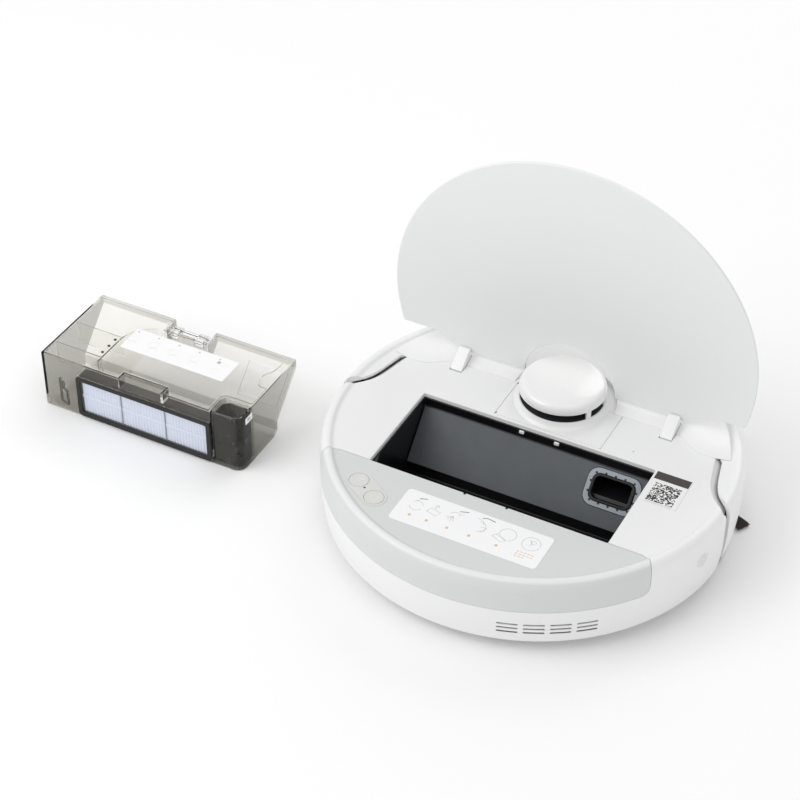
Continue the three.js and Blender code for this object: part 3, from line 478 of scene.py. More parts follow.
# Dark plastic parts; also painted shade deep in the slots beside the bumper.
DARK = plastic("dark_parts_and_slot_shade", (0.030, 0.032, 0.036), 0.5, 0.2, 1200, 0.15)
WINDOW = plastic("tinted_window", (0.010, 0.008, 0.012), 0.08, 0.2, 600, 0.01, coat=0.7)
LABEL = plastic("label_film", (0.93, 0.93, 0.94), 0.35, 0.01, 1200, 0.02)
# Grey print; also painted shade in the speaker grille's holes.
INK_AND_HOLE_SHADE = plastic("printed_ink_and_hole_shade", (0.52, 0.52, 0.52), 0.6, 0.15, 3000, 0.05)
# Dark print, screws and rivets; also painted shade in the pad's pinhole.
INK_DARK_AND_PINHOLE_SHADE = plastic("printed_dark_and_pinhole_shade", (0.045, 0.040, 0.040), 0.55, 0.2, 3000, 0.05)
INK_BAR = plastic("printed_bar", (0.058, 0.045, 0.041), 0.45, 0.25, 3000, 0.05)
INK_FAINT = plastic("printed_faint", (0.84, 0.84, 0.84), 0.6, 0.05, 3000, 0.05)
INK_ORANGE = plastic("printed_orange", (0.78, 0.54, 0.36), 0.6, 0.1, 3000, 0.05)
HUB_GREY = plastic("hub_grey", (0.30, 0.32, 0.34), 0.5, 0.05, 1500, 0.1)
BOARD = plastic("board_lacquer", (0.02, 0.13, 0.06), 0.35, 0.3, 400, 0.2)
STEEL = metal("ground_steel", (0.66, 0.66, 0.67), 0.28)
GOLD = metal("plated_strip", (0.72, 0.66, 0.50), 0.3)
SMOKE = smoky("smoky_clear", (0.975, 0.97, 0.945), 0.05)
# Darker copies of the smoky clear plastic: painted shade on the bin's upright walls and right end; the darkest is
# also the clip's own smoky grey.
SMOKE_WALL_SHADE = smoky("smoky_clear_wall_shade", (0.74, 0.73, 0.695), 0.06)
SMOKE_CLIP_AND_END_SHADE = smoky("smoky_clear_clip_and_end_shade", (0.43, 0.43, 0.412), 0.06)
SMOKE_LID = smoky("smoky_clear_lid", (0.985, 0.98, 0.965), 0.04)
SMOKE_DARK = smoky("smoky_dark", (0.27, 0.27, 0.262), 0.3, 0.6)
PLEATS = pleated("pleated_paper")
BRISTLE = plastic("nylon_bristle", (0.105, 0.092, 0.083), 0.45, 0.3, 3000, 0.2)


def lofted(name, sections):
    """Outlines of (x, y, z) points, all with the same count, joined one to the next, with closed ends."""
    count = len(sections[0])
    verts = [corner for section in sections for corner in section]
    faces = [list(range(count)), list(range(len(verts) - count, len(verts)))]
    for start in range(0, len(verts) - count, count):
        for i in range(count):
            ahead = (i + 1) % count
            faces.append([start + i, start + ahead, start + count + ahead, start + count + i])
    piece = new_piece(name, verts, faces)
    face_out(piece)
    return piece


def paint(piece, material):
    piece.data.materials.clear()
    piece.data.materials.append(material)
    for polygon in piece.data.polygons:
        polygon.material_index = 0
    return piece


# ------------------------------------------------------------------ body
RIM_LINE = [
    (DECK_R, DECK_Z), (DECK_R + 1.6, DECK_Z + 0.7), (DECK_R + 3.4, DECK_Z + 2.4),
    (BODY_R - 6.4, RIM_Z), (BODY_R - 3.2, RIM_Z - 1.5), (BODY_R - 0.8, RIM_Z - 5.2), (BODY_R, RIM_Z - 10),
]
WALL_LINE = [(BODY_R, 46.0), (BODY_R - 0.8, 30.0), (BODY_R - 3.0, WALL_FOOT_Z)]
BAY_X0, BAY_X1, BAY_Y1 = -105.7, 104.2, 12.2
SPEAKER_R = 7.4
WELL_CORNER_R = 9.0
NICKS = (-19.3, 17.7)


def inset_line(points, inset):
    """The line moved in by `inset` along its own normal."""
    out = []
    for i, (r, z) in enumerate(points):
        before, after = points[max(i - 1, 0)], points[min(i + 1, len(points) - 1)]
        dr, dz = after[0] - before[0], after[1] - before[1]
        length = math.hypot(dr, dz)
        out.append((r + dz / length * inset, z - dr / length * inset))
    return out


def body_line(inset=0.0):
    line = eased(RIM_LINE, 4) + eased(WALL_LINE, 3)
    moved = inset_line(line, inset) if inset else line
    return [(0.0, DECK_Z - inset)] + moved


def solid_body(name, inset):
    line = body_line(inset)
    return lathe(name, line + [(line[-1][0], WALL_FOOT_Z - 0.01), (0.0, WALL_FOOT_Z - 0.01)])


BUMPER_END_Y = span_mm("bumper_shell", 1)[0]
SLOT_A, SLOT_B, SLOT_C = (142.6, 48.0), (151.0, 11.0), (172.2, BUMPER_END_Y - 7.4)


def bend(a, b, c, share, steps=8):
    """A corner from a by b to c, rounded over a share of each side."""
    points = []
    for step in range(steps + 1):
        t = step / steps
        back, ahead = share * (1 - t) ** 2, share * t * t
        points.append(tuple(v + (u - v) * back + (w - v) * ahead for u, v, w in zip(a, b, c)))
    return points


def bumper_zone(slot):
    """The plan of the bumper; `slot` moves its rear edge away from the deck's."""
    wall_end = (171.8, BUMPER_END_Y) if slot else SLOT_C
    deck_end = (SLOT_A[0] + slot, SLOT_A[1])
    corner = (SLOT_B[0] + slot, SLOT_B[1] + 0.3 * slot)
    right = [(BODY_R + 20, wall_end[1]), wall_end] + bend(wall_end, corner, deck_end, 0.4) + [deck_end]
    start = math.degrees(math.atan2(SLOT_A[1], deck_end[0]))
    front = arc(0, 0, 150.2 + 0.65 * slot, start + 1, 179 - start, 60)
    return right + front + mirrored(right) + [(-BODY_R - 20, BODY_R + 20), (BODY_R + 20, BODY_R + 20)]


def cover_plan(grow):
    side = math.radians(56.5)
    corner = (174 * math.sin(side) + grow, -174 * math.cos(side) + grow)
    far = (195 * math.sin(side) + grow, -195 * math.cos(side) + grow)
    bend = arc(131.5, BAY_Y0 - GAP + grow - 12, 12 + grow, 90, 42, 6)
    right = [far, corner] + list(reversed(bend))
    return right + mirrored(right) + [(-far[0], -BODY_R - 30), (far[0], -BODY_R - 30)]


def cover_foot_corner(side, grow):
    """What rounds the frosted cover's lower corner: a block with a round hole, set across the wall."""
    r, half = 8.0, 56.5 + math.degrees(grow / BODY_R)
    foot = COVER_FOOT_Z - grow
    waste = prism_y("corner", [
        (0.0, foot - 1), (1.5, foot - 1), (1.5, foot + r), (0.0, foot + r),
    ] + arc(-r, foot + r, r, 0, -90, 10) + [(-r, foot - 1)], -BODY_R - 6, -150)
    if side < 0:
        waste.data.transform(Matrix.Translation(-point(0, 0, 0)))
        waste.data.transform(Matrix.Scale(-1, 4, (1, 0, 0)))
        waste.data.transform(Matrix.Translation(point(0, 0, 0)))
        face_out(waste)
    return turn(waste, side * half, "Z", (0, 0, 0))


def arm_slots(half, y0, y1, lip):
    plans = [[(s * ARM_X - half, y0), (s * ARM_X + half, y0), (s * ARM_X + half, y1), (s * ARM_X - half, y1)]
             for s in (-1, 1)]
    return [flared("slot", plan, 60, DECK_Z, lip) for plan in plans]


PAD_A, PAD_B, PAD_R = (-101.4, -111.2), (-80.9, -124.2), 10.6


EXHAUST_DEGREES = (19.1, 26.0, 32.9, 39.8)
EXHAUST_ROWS = (23.5, 28.0, 32.5)


def exhaust_slits():
    slits = []
    for degrees in EXHAUST_DEGREES:
        for z in EXHAUST_ROWS:
            slit = prism_y("slit", pill(-7.6, z, 7.6, z, 0.95, 6), -BODY_R - 8, -BODY_R + 8)
            slits.append(turn(slit, degrees, "Z", (0, 0, 0)))
    return merge("slits", slits)


def wall_plug(name, r, back, front, out=0.0, up=0.0):
    """A short round plug through the wall where the speaker is, moved along and up the wall."""
    plug = lathe(name, [(0, back), (r, back), (r, front), (0, front)], steps=40 if r > 2 else 10)
    plug.data.transform(Matrix.Translation(-point(0, 0, 0)))
    plug.data.transform(Matrix.Rotation(math.radians(90), 4, "Y"))
    plug.data.transform(Matrix.Translation(point(0, out, 49.5 + up)))
    return turn(plug, -14.8, "Z", (0, 0, 49.5))


def edge_nicks():
    return [block("nick", x - 1.1, x + 1.1, BAY_Y0 - 1.9, BAY_Y0 + 1, 60, 90) for x in NICKS]


def upper_housing():
    outer = body_line()
    inner = [(r, z) for r, z in inset_line(eased(RIM_LINE, 2) + WALL_LINE, SKIN)]
    shell = lathe("housing", outer + list(reversed(inner)) + [(0.0, DECK_Z - SKIN)])
    bay = rounded_rect(BAY_X0, BAY_X1, BAY_Y0, BAY_Y1, 1.6)
    plate = rounded_rect(-42.3, 54.3, 14.9, 62.6, 1.0)
    recess = cut(solid_body("recess", -1.0), solid_body("core", COVER_T + GAP))
    recess = common(recess, prism("plan", cover_plan(GAP), COVER_FOOT_Z - GAP, 90))
    recess = cut(recess, *[cover_foot_corner(side, GAP) for side in (-1, 1)])
    arm = ARM_HALF + 0.35
    cut(
        shell,
        flared("zone", bumper_zone(0), 0, DECK_Z, 1.8),
        flared("bay", bay, 60, DECK_Z, 0.9),
        flared("plate", plate, 60, DECK_Z, 0.3),
        flared_bore("well", 33, TURRET_X, TURRET_Y, 60, DECK_Z, 0.5),
        *arm_slots(arm, 50.6, 62, 0.4),
        *arm_slots(arm + 3.6, 61.9, 74, 0.2),
        recess,
        prism("pad", pill(*PAD_A, *PAD_B, PAD_R - 1.4), 60, 90),
        wall_plug("bore", SPEAKER_R + 0.08, BODY_R - 8, BODY_R + 4),
        exhaust_slits(),
        flared_bore("pinhole", 0.7, 79.3, 24.6, 60, DECK_Z, 0.2),
        *edge_nicks(),
    )
    return ride(paint(shade(shell), WHITE), "chassis", "body_white", "upper_housing")


def slot_lining():
    """The pale slope under the slots beside the bumper, and a dark sheet behind their upright ends: painted shade
    in the gaps.
    """
    path = [(137.7, 60.0), SLOT_A] + bend(SLOT_A, SLOT_B, SLOT_C, 0.4) + [(163.5, -2.4), (167.6, -6.9)]
    slopes, shade_backs = [], []
    for side in (-1, 1):
        sections = []
        for i, (x, y) in enumerate(path):
            before, after = path[max(i - 1, 0)], path[min(i + 1, len(path) - 1)]
            run = math.hypot(after[0] - before[0], after[1] - before[1])
            out_x, out_y = (before[1] - after[1]) / run, (after[0] - before[0]) / run
            reach = min(7.0, 171.0 - math.hypot(x, y))
            section = [(-1.5, 71.2), (0.4, 71.2), (reach, 65.4), (reach, 63.6), (-1.5, 63.6)]
            sections.append([(side * (x + out_x * far), y + out_y * far, z) for far, z in section])
        slopes.append(lofted("slope", sections))
        # a dark sheet deep in each slot's upright end: painted shade where there is only a gap
        edge = 0 if side > 0 else 180
        plan = arc(0, 0, 168.4, edge - 4.8, edge + 4.8, 8) + arc(0, 0, 165.5, edge + 4.8, edge - 4.8, 8)
        shade_backs.append(prism("shade_back", plan, 14.5, 63.5))
    ride(paint(shade(merge("slot_lining", slopes)), WHITE), "chassis", "body_white")
    ride(paint(soften(merge("slot_painted_shade", shade_backs), 0.3), DARK), "chassis", "vent_black")


def vent_lining():
    """Dark strips that back each exhaust slit."""
    strips = []
    for degrees in EXHAUST_DEGREES:
        for z in EXHAUST_ROWS:
            strip = prism_y("strip", pill(-7.5, z, 7.5, z, 0.88, 6), -BODY_R + 2.2, -BODY_R + 6)
            strips.append(turn(strip, degrees, "Z", (0, 0, 0)))
    return ride(paint(shade(merge("vent_lining", strips)), DARK), "chassis", "vent_black")


def rear_cover():
    skin = cut(solid_body("frosted_cover", 0.0), solid_body("inside", COVER_T))
    common(skin, prism("plan", cover_plan(0), COVER_FOOT_Z, 90))
    cut(
        skin,
        *[cover_foot_corner(side, 0.0) for side in (-1, 1)],
        prism("pad", pill(*PAD_A, *PAD_B, PAD_R + 0.12), 60, 90),
        *edge_nicks(),
    )
    return ride(paint(shade(skin), FROSTED), "chassis", "cover_frosted", "rear_cover")


def front_cover():
    foot = eased([(153.6, 51.2), (142, 48), (131, 47.4), (121, 50.2), (112.5, 56.4), (105, 61.3)], 4)
    centre_y, r, notch = -3.4, 162.8, 46.0
    edge = math.degrees(math.atan2(51.2 - centre_y, 153.6))
    lap = math.degrees(math.asin((61.3 - TURRET_Y) / notch))
    plan = foot + arc(TURRET_X, TURRET_Y, notch, lap, 180 - lap, 48) + mirrored(foot)
    plan += arc(0, centre_y, r, 180 - edge, edge, 120)[1:-1]
    slab = prism("crest", plan, DECK_Z + 0.03, CREST_Z)
    low = DECK_Z + 0.4
    line = [(180, foot[0][1])] + foot + mirrored(foot) + [(-180, foot[0][1])]
    over_slope = lofted("slope", [
        [(x, y, low), (x, CREST_Y, CREST_Z), (x, CREST_Y, 90), (x, 40, 90), (x, 40, low)] for x, y in line
    ])
    arm = ARM_HALF + 0.35
    cut(
        slab,
        over_slope,
        *[block("slot", s * ARM_X - arm, s * ARM_X + arm, 50, 72, 60, 90) for s in (-1, 1)],
    )
    cheeks = []
    for side in (-1, 1):
        for edge_side in (-1, 1):
            inner = side * ARM_X + edge_side * arm
            low, high = sorted((inner, inner + edge_side * 2.6))
            cheeks.append(block("cheek", low, high, 63, 72.6, 64.5, 73.8))
    crest = merge("front_crest", [shade(slab)] + cheeks)
    return ride(paint(crest, WHITE), "chassis", "crest_white", "front_cover")


def bumper():
    outer = [(150.0, DECK_Z - 0.2), (DECK_R, DECK_Z - 0.2)] + eased(RIM_LINE, 4)[4:]
    outer += [(BODY_R, 46.0), (BODY_R - 1.0, 30.0), (BODY_R - 2.2, 20.0)]
    inner = [
        (BODY_R - 4.8, 20.0), (BODY_R - 2.7, 46.0), (BODY_R - 2.7, 65.5),
        (BODY_R - 3.8, 68.6), (BODY_R - 6.0, 70.2), (150.0, 70.2),
    ]
    shell = lathe("bumper", outer + inner, closed=True)
    common(shell, prism("zone", bumper_zone(5.0), 10, 90))
    reach = 300 * math.tan(math.radians(21))
    gap = lathe("gap", [(160, 49.5), (190, 49.5), (190, 60.5), (160, 60.5)], closed=True)
    common(gap, prism("wedge", [(0, 0), (reach, 300), (-reach, 300)], 40, 70))
    cut(shell, gap)
    ride(paint(shade(shell), WHITE), "bumper", "bumper_white", "bumper_shell")
    glass = lathe("bumper_glass", [(172.6, 49.8), (174.5, 49.8), (174.5, 60.2), (172.6, 60.2)], closed=True)
    reach = 300 * math.tan(math.radians(20.8))
    common(glass, prism("wedge", [(0, 0), (reach, 300), (-reach, 300)], 40, 70))
    ride(paint(soften(glass, 0.3), WINDOW), "bumper", "window_black", "bumper_window")


def base_pan():
    pan = lathe("pan", [
        (0, 9), (152, 9), (160, 9.4), (166, 10.6), (171.6, 12.7),
        (168, 12.7), (164, 12.4), (150, 11.5), (0, 11.5),
    ])
    cut(
        pan,
        block("well", -154, -108.5, -40, 41, 0, 30),
        block("well", 108.5, 154, -40, 41, 0, 30),
        block("brush", -92, 92, 26, 74, 0, 30),
        lathe("spin", [(0, 0), (14.6, 0), (14.6, 30), (0, 30)], 108, 92, 64),
        lathe("fork", [(0, 0), (20.6, 0), (20.6, 30), (0, 30)], 0, 128, 64),
    )
    wall = lathe("pan_wall", [(157.5, 11), (160, 11), (160, 66), (157.5, 66)], closed=True)
    common(wall, block("half", -200, 200, 60, 200, 0, 80))
    shell = merge("bottom_pan", [soften(pan, 0.3), shade(wall)])
    ride(paint(shell, WALL_WHITE), "chassis", "deck_white", "base_pan")


def speaker():
    """The perforated plug in the wall."""
    plug = wall_plug("speaker_plug", SPEAKER_R, BODY_R - 3.2, BODY_R - 0.2)
    ride(paint(shade(plug), WHITE), "chassis", "speaker_grey", "speaker_grille")
    # Grey dots where the grille's holes are: painted shade in the holes.
    pitch, hole_shades = 1.75, []
    for row in range(-5, 6):
        for column in range(-5, 6):
            along, up = (column + 0.5 * (row % 2)) * pitch, row * pitch * 0.87
            if math.hypot(along, up) < SPEAKER_R - 0.6:
                hole_shades.append(wall_plug("hole", 0.38, BODY_R - 0.8, BODY_R - 0.12, along, up))
    ride(paint(shade(merge("speaker_hole_shade", hole_shades)), INK_AND_HOLE_SHADE), "chassis", "speaker_grey")


# ------------------------------------------------------------------ lid
def lid():
    right = [(104, 57.3), (122.5, 44.6)]
    r, notch = 162.2, 41.2
    corner = math.degrees(math.asin(44.6 / r))
    plan = arc(TURRET_X, TURRET_Y - 0.2, notch, 180, 360, 64) + right
    plan += arc(0, 0, r, corner, -180 - corner, 240) + mirrored(right)
    hinge = (0, HINGE_Y, HINGE_Z)
    panel = turn(prism("lid", plan, 73.6, 76.6), -LID_OPEN, "X", hinge)
    ride(paint(soften(panel, 0.9, 3), LID_WHITE), "lid", "lid_white", "lid_panel")
    strokes = [arc(9, 15.4, 2.1, 0, 330, 14), [(5.2, 15.6), (2.2, 15.2)]]
    ring = print_lines("lid_mark", strokes, 0.5, 73.52, 0.2)
    ride(paint(turn(ring, -LID_OPEN, "X", hinge), WHITE), "lid", "lid_white")


# ------------------------------------------------------------------ turret
def turret():
    x, y, r = TURRET_X, TURRET_Y, TURRET_R
    sheet = prism("sheet", rounded_rect(-42, 54, 15.2, 62.3, 1.2), DECK_Z - 2.5, DECK_Z)
    cut(sheet, flared_bore("hole", 32.8, x, y, 60, DECK_Z, 0.3))
    flare = lathe("flare", eased([
        (r + 3.6, DECK_Z + 0.02), (r + 1.9, DECK_Z + 1.3), (r + 0.8, DECK_Z + 3.0), (r, BAND_LOW - 0.4),
    ], 4) + [
        (r - 0.4, BAND_LOW), (r - 1.3, BAND_LOW), (r - 1.3, DECK_Z + 2.3),
        (32.8, DECK_Z + 2.3), (32.8, DECK_Z + 0.02),
    ], x, y, 128, closed=True)
    corners = [lathe("dot", [(0, 72), (0.75, 72), (0.75, DECK_Z + 0.05), (0, DECK_Z + 0.05)], *at, 16)
               for at in ((-41.4, 17.2), (-41.4, 60.6))]
    plate = merge("turret_base_plate", [soften(sheet, 0.3), shade(flare, 40)])
    ride(paint(plate, WHITE), "chassis", "turret_white", "turret_plate")
    ride(paint(shade(merge("plate_screws", corners)), INK_DARK_AND_PINHOLE_SHADE), "chassis", "lidar_black")
    dome = lathe("dome", [(0, TURRET_TOP)] + eased([
        (r - 7.0, TURRET_TOP - 0.02), (r - 4.2, TURRET_TOP - 0.35), (r - 2.2, TURRET_TOP - 1.5),
        (r - 0.9, TURRET_TOP - 3.6), (r - 0.1, TURRET_TOP - 6.4), (r, BAND_HIGH + 0.3),
    ], 5) + [(r - 0.4, BAND_HIGH), (r - 1.8, BAND_HIGH), (r - 2.8, TURRET_TOP - 4.8),
             (r - 6, TURRET_TOP - 2.4), (0, TURRET_TOP - 2.4)], x, y, 128)
    posts = []
    for degrees, wide in ((-29.5, 4.6), (8, 1.8), (80, 5), (150, 5), (-156, 4)):
        post = block("post", x + r - 2.7, x + r - 0.5, y - wide / 2, y + wide / 2, BAND_LOW, BAND_HIGH + 0.6)
        posts.append(turn(soften(post, 0.3), degrees, "Z", (x, y, 0)))
    cap = merge("turret_top", [shade(dome, 40)] + posts)
    ride(paint(cap, CAP_WHITE), "chassis", "turret_white", "turret_cap")
    base = lathe("range_finder_base", [
        (0, 58), (26, 58), (26, 71), (32.3, 73), (32.3, 75.6), (r - 1.6, 76),
        (r - 1.6, BAND_LOW - 0.4), (0, BAND_LOW - 0.4),
    ], x, y, 96)
    ride(paint(soften(base, 0.3), DARK), "chassis", "lidar_black", "lidar_base")


# ------------------------------------------------------------------ bay
SLOPE_LOW_Y, SLOPE_LOW_Z = -22.5, 23.5
SLOPE_HIGH_Y, SLOPE_HIGH_Z = 11.0, 60.5
BAY_SLOPE = math.atan2(SLOPE_HIGH_Z - SLOPE_LOW_Z, SLOPE_HIGH_Y - SLOPE_LOW_Y)


def on_slope(piece):
    """A piece drawn flat, its y counted up the bay's sloped wall, laid on that wall."""
    piece.data.transform(Matrix.Translation(-point(0, 0, 0)))
    piece.data.transform(Matrix.Rotation(BAY_SLOPE, 4, "X"))
    piece.data.transform(Matrix.Translation(point(0, SLOPE_LOW_Y, SLOPE_LOW_Z)))
    return piece


def along_outline(outline, count):
    """Points spread evenly round a closed outline."""
    sides = [(Vector(a), Vector(b)) for a, b in zip(outline, outline[1:] + outline[:1])]
    total = sum((b - a).length for a, b in sides)
    found, walked = [], 0.0
    for a, b in sides:
        length = (b - a).length
        while len(found) < count and walked + length >= (len(found) + 0.5) * total / count:
            found.append(tuple(a.lerp(b, ((len(found) + 0.5) * total / count - walked) / length)))
        walked += length
    return found


def inlet_dots():
    spots = along_outline(rounded_rect(53.9, 93.6, 18.9, 44.1, 6.6), 14)
    dots = [lathe("dot", [(0, 0.5), (0.95, 0.5), (0.95, 2.1), (0, 2.1)], x, v, 12) for x, v in spots]
    ride(paint(on_slope(shade(merge("inlet_dots", dots))), RUBBER), "chassis", "seal_rubber")


# ------------------------------------------------------------------ printing
def ribbon(line, width, z, thick):
    """A drawn line as a thin raised strip."""
    left, right = [], []
    for i, (x, y) in enumerate(line):
        before, after = line[max(i - 1, 0)], line[min(i + 1, len(line) - 1)]
        along = Vector((after[0] - before[0], after[1] - before[1])).normalized() * (width / 2)
        left.append((x - along.y, y + along.x))
        right.append((x + along.y, y - along.x))
    return prism("line", left + right[::-1], z, z + thick)


def print_lines(name, lines, width, z, thick=0.05):
    return merge(name, [ribbon(line, width, z, thick) for line in lines])


def print_dots(name, spots, r, z, thick=0.05):
    return merge(name, [prism("dot", arc(x, y, r, 0, 330, 11), z, z + thick) for x, y in spots])


DECK_PRINT = DECK_Z + 0.35
GUIDE_DOTS = (-46.7, -31.7, -13.8, 5.4, 29.1)


def guide_print():
    """Five small line drawings, each over a dot, and a round sign."""
    def lifted_lid(x, y):
        rim = [arc(x, y - 2, 5.5, 200, 340, 10), arc(x, y - 2, 5.5, 20, 120, 8)]
        return rim + [[(x - 4, y + 1), (x + 1, y + 6)]]

    def bin_out(x, y):
        box = [(x - 5, y - 4), (x + 4, y - 6), (x + 6, y - 1), (x - 3, y + 1), (x - 5, y - 4)]
        return [box, [(x, y + 1), (x + 1, y + 6)], [(x - 1, y + 4), (x + 1, y + 6), (x + 3, y + 4)]]

    def brush(x, y):
        fan = [[(x - 1, y), (x - 1 + 6 * math.cos(a), y + 6 * math.sin(a))] for a in (3.6, 4.1, 4.6, 5.1)]
        return fan + [arc(x, y, 5.5, 60, 150, 7), [(x + 2, y + 3), (x + 6, y + 6)]]

    def emptied(x, y):
        return [arc(x + 2, y - 1, 6, -60, 100, 10), arc(x - 2, y, 7.5, 20, 95, 8),
                [(x + 3, y - 7), (x + 8, y - 5), (x + 9, y), (x + 4, y - 1)]]

    def rinsed(x, y):
        tray = [(x - 8, y - 5), (x + 1, y - 9), (x + 5, y - 6), (x - 4, y - 1), (x - 8, y - 5)]
        return [tray, arc(x + 3, y + 1, 7, -60, 200, 18), [(x - 6, y - 2), (x + 4, y - 6)]]

    drawings = [lifted_lid, bin_out, brush, emptied, rinsed]
    lines = [line for draw, x in zip(drawings, GUIDE_DOTS) for line in draw(x, -115)]
    lines += [arc(52.7, -115, 7.5, 0, 350, 28), arc(54, -113, 2, 0, 330, 9)]
    lines += [[(50, -111), (53, -114), (52, -118)]]
    bold = [
        [(GUIDE_DOTS[0] - 1, -108.6), (GUIDE_DOTS[0] + 5, -106.4)],
        [(GUIDE_DOTS[2] + 1, -107.5), (GUIDE_DOTS[2] + 8, -104.9)],
        [(GUIDE_DOTS[3] + 1, -106), (GUIDE_DOTS[3] + 5, -104.4), (GUIDE_DOTS[3] + 12, -105.4)],
    ]
    starts = [(x, y) for y in (-126.6, -129.4, -132.0) for x in (45.5, 48.6, 51.7, 54.8, 57.9)][:13]
    small = [[(x, y), (x + 2.2, y)] for x, y in starts]
    ride(paint(print_lines("guide_drawings", lines, 0.34, DECK_PRINT), INK_AND_HOLE_SHADE), "chassis", "label_paper")
    ride(paint(print_lines("guide_drawings_bold", bold, 0.6, DECK_PRINT), INK_BAR), "chassis", "label_paper")
    ride(paint(print_lines("guide_small_rows", small, 0.7, DECK_PRINT), INK_ORANGE), "chassis", "label_paper")
    dots = print_dots("guide_dots", [(x, -129) for x in GUIDE_DOTS], 1.35, DECK_PRINT)
    ride(paint(dots, INK_ORANGE), "chassis", "label_paper")


def code_print():
    """A dark bar over a square of random cells, which spells nothing."""
    ride(
        paint(block("code_bar", 106.5, 136.1, 2.0, 11.3, DECK_PRINT, DECK_PRINT + 0.06), INK_BAR),
        "chassis", "label_paper",
    )
    chance = random.Random(7)
    count, x0, y0 = 25, 110.0, -24.6
    cell = 22.6 / count
    cells = []
    for row in range(count):
        for column in range(count):
            if chance.random() < 0.5:
                left, low = x0 + column * cell, y0 + row * cell
                cells.append([left, left + cell, low, low + cell])
    made = [block("cell", *edges, DECK_PRINT, DECK_PRINT + 0.05) for edges in cells]
    ride(paint(merge("code_cells", made), INK_DARK_AND_PINHOLE_SHADE), "chassis", "label_paper")
    small = [[(x, -26.1), (x + 1.1, -26.1)] for x in [110 + 1.9 * i for i in range(12)]]
    ride(paint(print_lines("code_small_row", small, 0.6, DECK_PRINT), INK_AND_HOLE_SHADE), "chassis", "label_paper")


BIN_DOTS = (-376.0, -355.0, -334.0, -313.0, -292.0)


def bin_print():
    top = span_mm("bin_label", 2)[1] + 0.05
    lines = []
    for x in BIN_DOTS[:4]:
        lines += [arc(x + 1, -24, 5, 150, 330, 10), [(x - 4, -24), (x + 3, -20), (x + 6, -25)]]
        lines += [arc(x + 3, -31, 3.5, 0, 240, 8)]
    lines += [arc(-283.5, -19.5, 2.2, 0, 345, 12), arc(-288, -31, 3.6, 0, 300, 10)]
    ride(paint(print_lines("bin_drawings", lines, 0.25, top), INK_FAINT), "bin_cover", "label_paper")
    dots = print_dots("bin_dots", [(x, -14.4) for x in BIN_DOTS], 0.95, top)
    ride(paint(dots, INK_ORANGE), "bin_cover", "label_paper")
    ride(paint(print_dots("bin_spot", [(-290.5, -18.6)], 1.8, top), INK_AND_HOLE_SHADE), "bin_cover", "label_paper")


# ------------------------------------------------------------------ buttons
def buttons():
    pad = prism("button_plate", grown(pill(*PAD_A, *PAD_B, PAD_R), 0.02), DECK_Z - 1.9, DECK_Z + GAP)
    wide = 8.36
    cut(pad, *[flared_bore("hole", wide, *at, 60, DECK_Z + GAP, 0.3) for at in (PAD_A, PAD_B)])
    ride(paint(soften(pad, 0.25), PAD_GREY), "chassis", "button_frosted", "button_pad")
    keys = ((PAD_A, "network_key", "network_button"), (PAD_B, "restart_key", "restart_button"))
    for at, body, node in keys:
        foot, top = span_mm(node, 2)
        key = lathe(node.replace("button", "key_top"), [
            (0, foot), (8.2, foot), (8.2, top - 0.5), (7.9, top - 0.12),
            (7.3, top), (6.6, top - 0.1), (0, top - 0.55),
        ], *at, 64)
        ride(paint(shade(key, 40), PAD_GREY), body, "button_frosted", node)
    x, y = PAD_A
    top = span_mm("network_button", 2)[1] - 0.5
    waves = [arc(x, y - 2.2, r, 50, 130, 8) for r in (2.0, 3.6, 5.2)]
    sign = print_lines("network_sign", waves, 0.4, top, 0.2)
    ride(paint(sign, WALL_WHITE), "network_key", "button_frosted")
    x, y = PAD_B
    power = [arc(x, y, 3.2, 120, 420, 16), [(x, y + 1.2), (x, y + 4.2)]]
    sign = print_lines("restart_sign", power, 0.4, top, 0.2)
    ride(paint(sign, WALL_WHITE), "restart_key", "button_frosted")
    # A dark dot where the pad's pinhole is: painted shade in the hole.
    hole = print_dots("pad_pinhole_shade", [(-93, -117.6)], 0.95, DECK_Z + GAP - 0.2, 0.24)
    ride(paint(hole, INK_DARK_AND_PINHOLE_SHADE), "chassis", "button_frosted")


# ------------------------------------------------------------------ filter
def filter_pieces():
    x0, x1 = span_mm("filter_seal", 0)
    y0, y1 = span_mm("filter_seal", 1)
    z0, z1 = span_mm("filter_seal", 2)
    gasket = prism_y("filter_gasket", rounded_rect(x0, x1, z0, z1, 3.6, 8), y0, y1)
    cut(gasket, prism_y("mouth", rounded_rect(x0 + 4.3, x1 - 4.3, z0 + 4.3, z1 - 4.3, 1.6), y0 - 2, y1 + 2))
    ride(paint(soften(gasket, 0.45, 3), RUBBER), "filter", "seal_rubber", "filter_seal")
    x0, x1 = span_mm("filter_media", 0)
    y0, y1 = span_mm("filter_media", 1)
    z0, z1 = span_mm("filter_media", 2)
    folds = 42
    pitch = (x1 - x0) / folds
    front = []
    for i in range(folds):
        left = x0 + i * pitch
        front += [(left, y0 + 0.8), (left + 0.3 * pitch, y0 + 0.25), (left + 0.5 * pitch, y0 + 0.1),
                  (left + 0.7 * pitch, y0 + 0.25)]
    sheet = prism("pleated_sheet", front + [(x1, y0 + 0.8), (x1, y1), (x0, y1)], z0, z1)
    ride(paint(shade(sheet, 50), PLEATS), "filter", "filter_pleats", "filter_media")
    bars = [block("bar", x - 0.55, x + 0.55, y0 - 0.5, y0 + 1.2, z0, z1) for x in (-355.5, -310.5)]
    ride(paint(soften(merge("filter_bars", bars), 0.2), HUB_GREY), "filter", "filter_frame_graphite")
    strip = block("filter_strip", x0, x1, y0 - 0.1, y0 + 0.5, 21.8, 25.0)
    ride(paint(soften(strip, 0.2), PLEATS), "filter", "filter_frame_graphite")


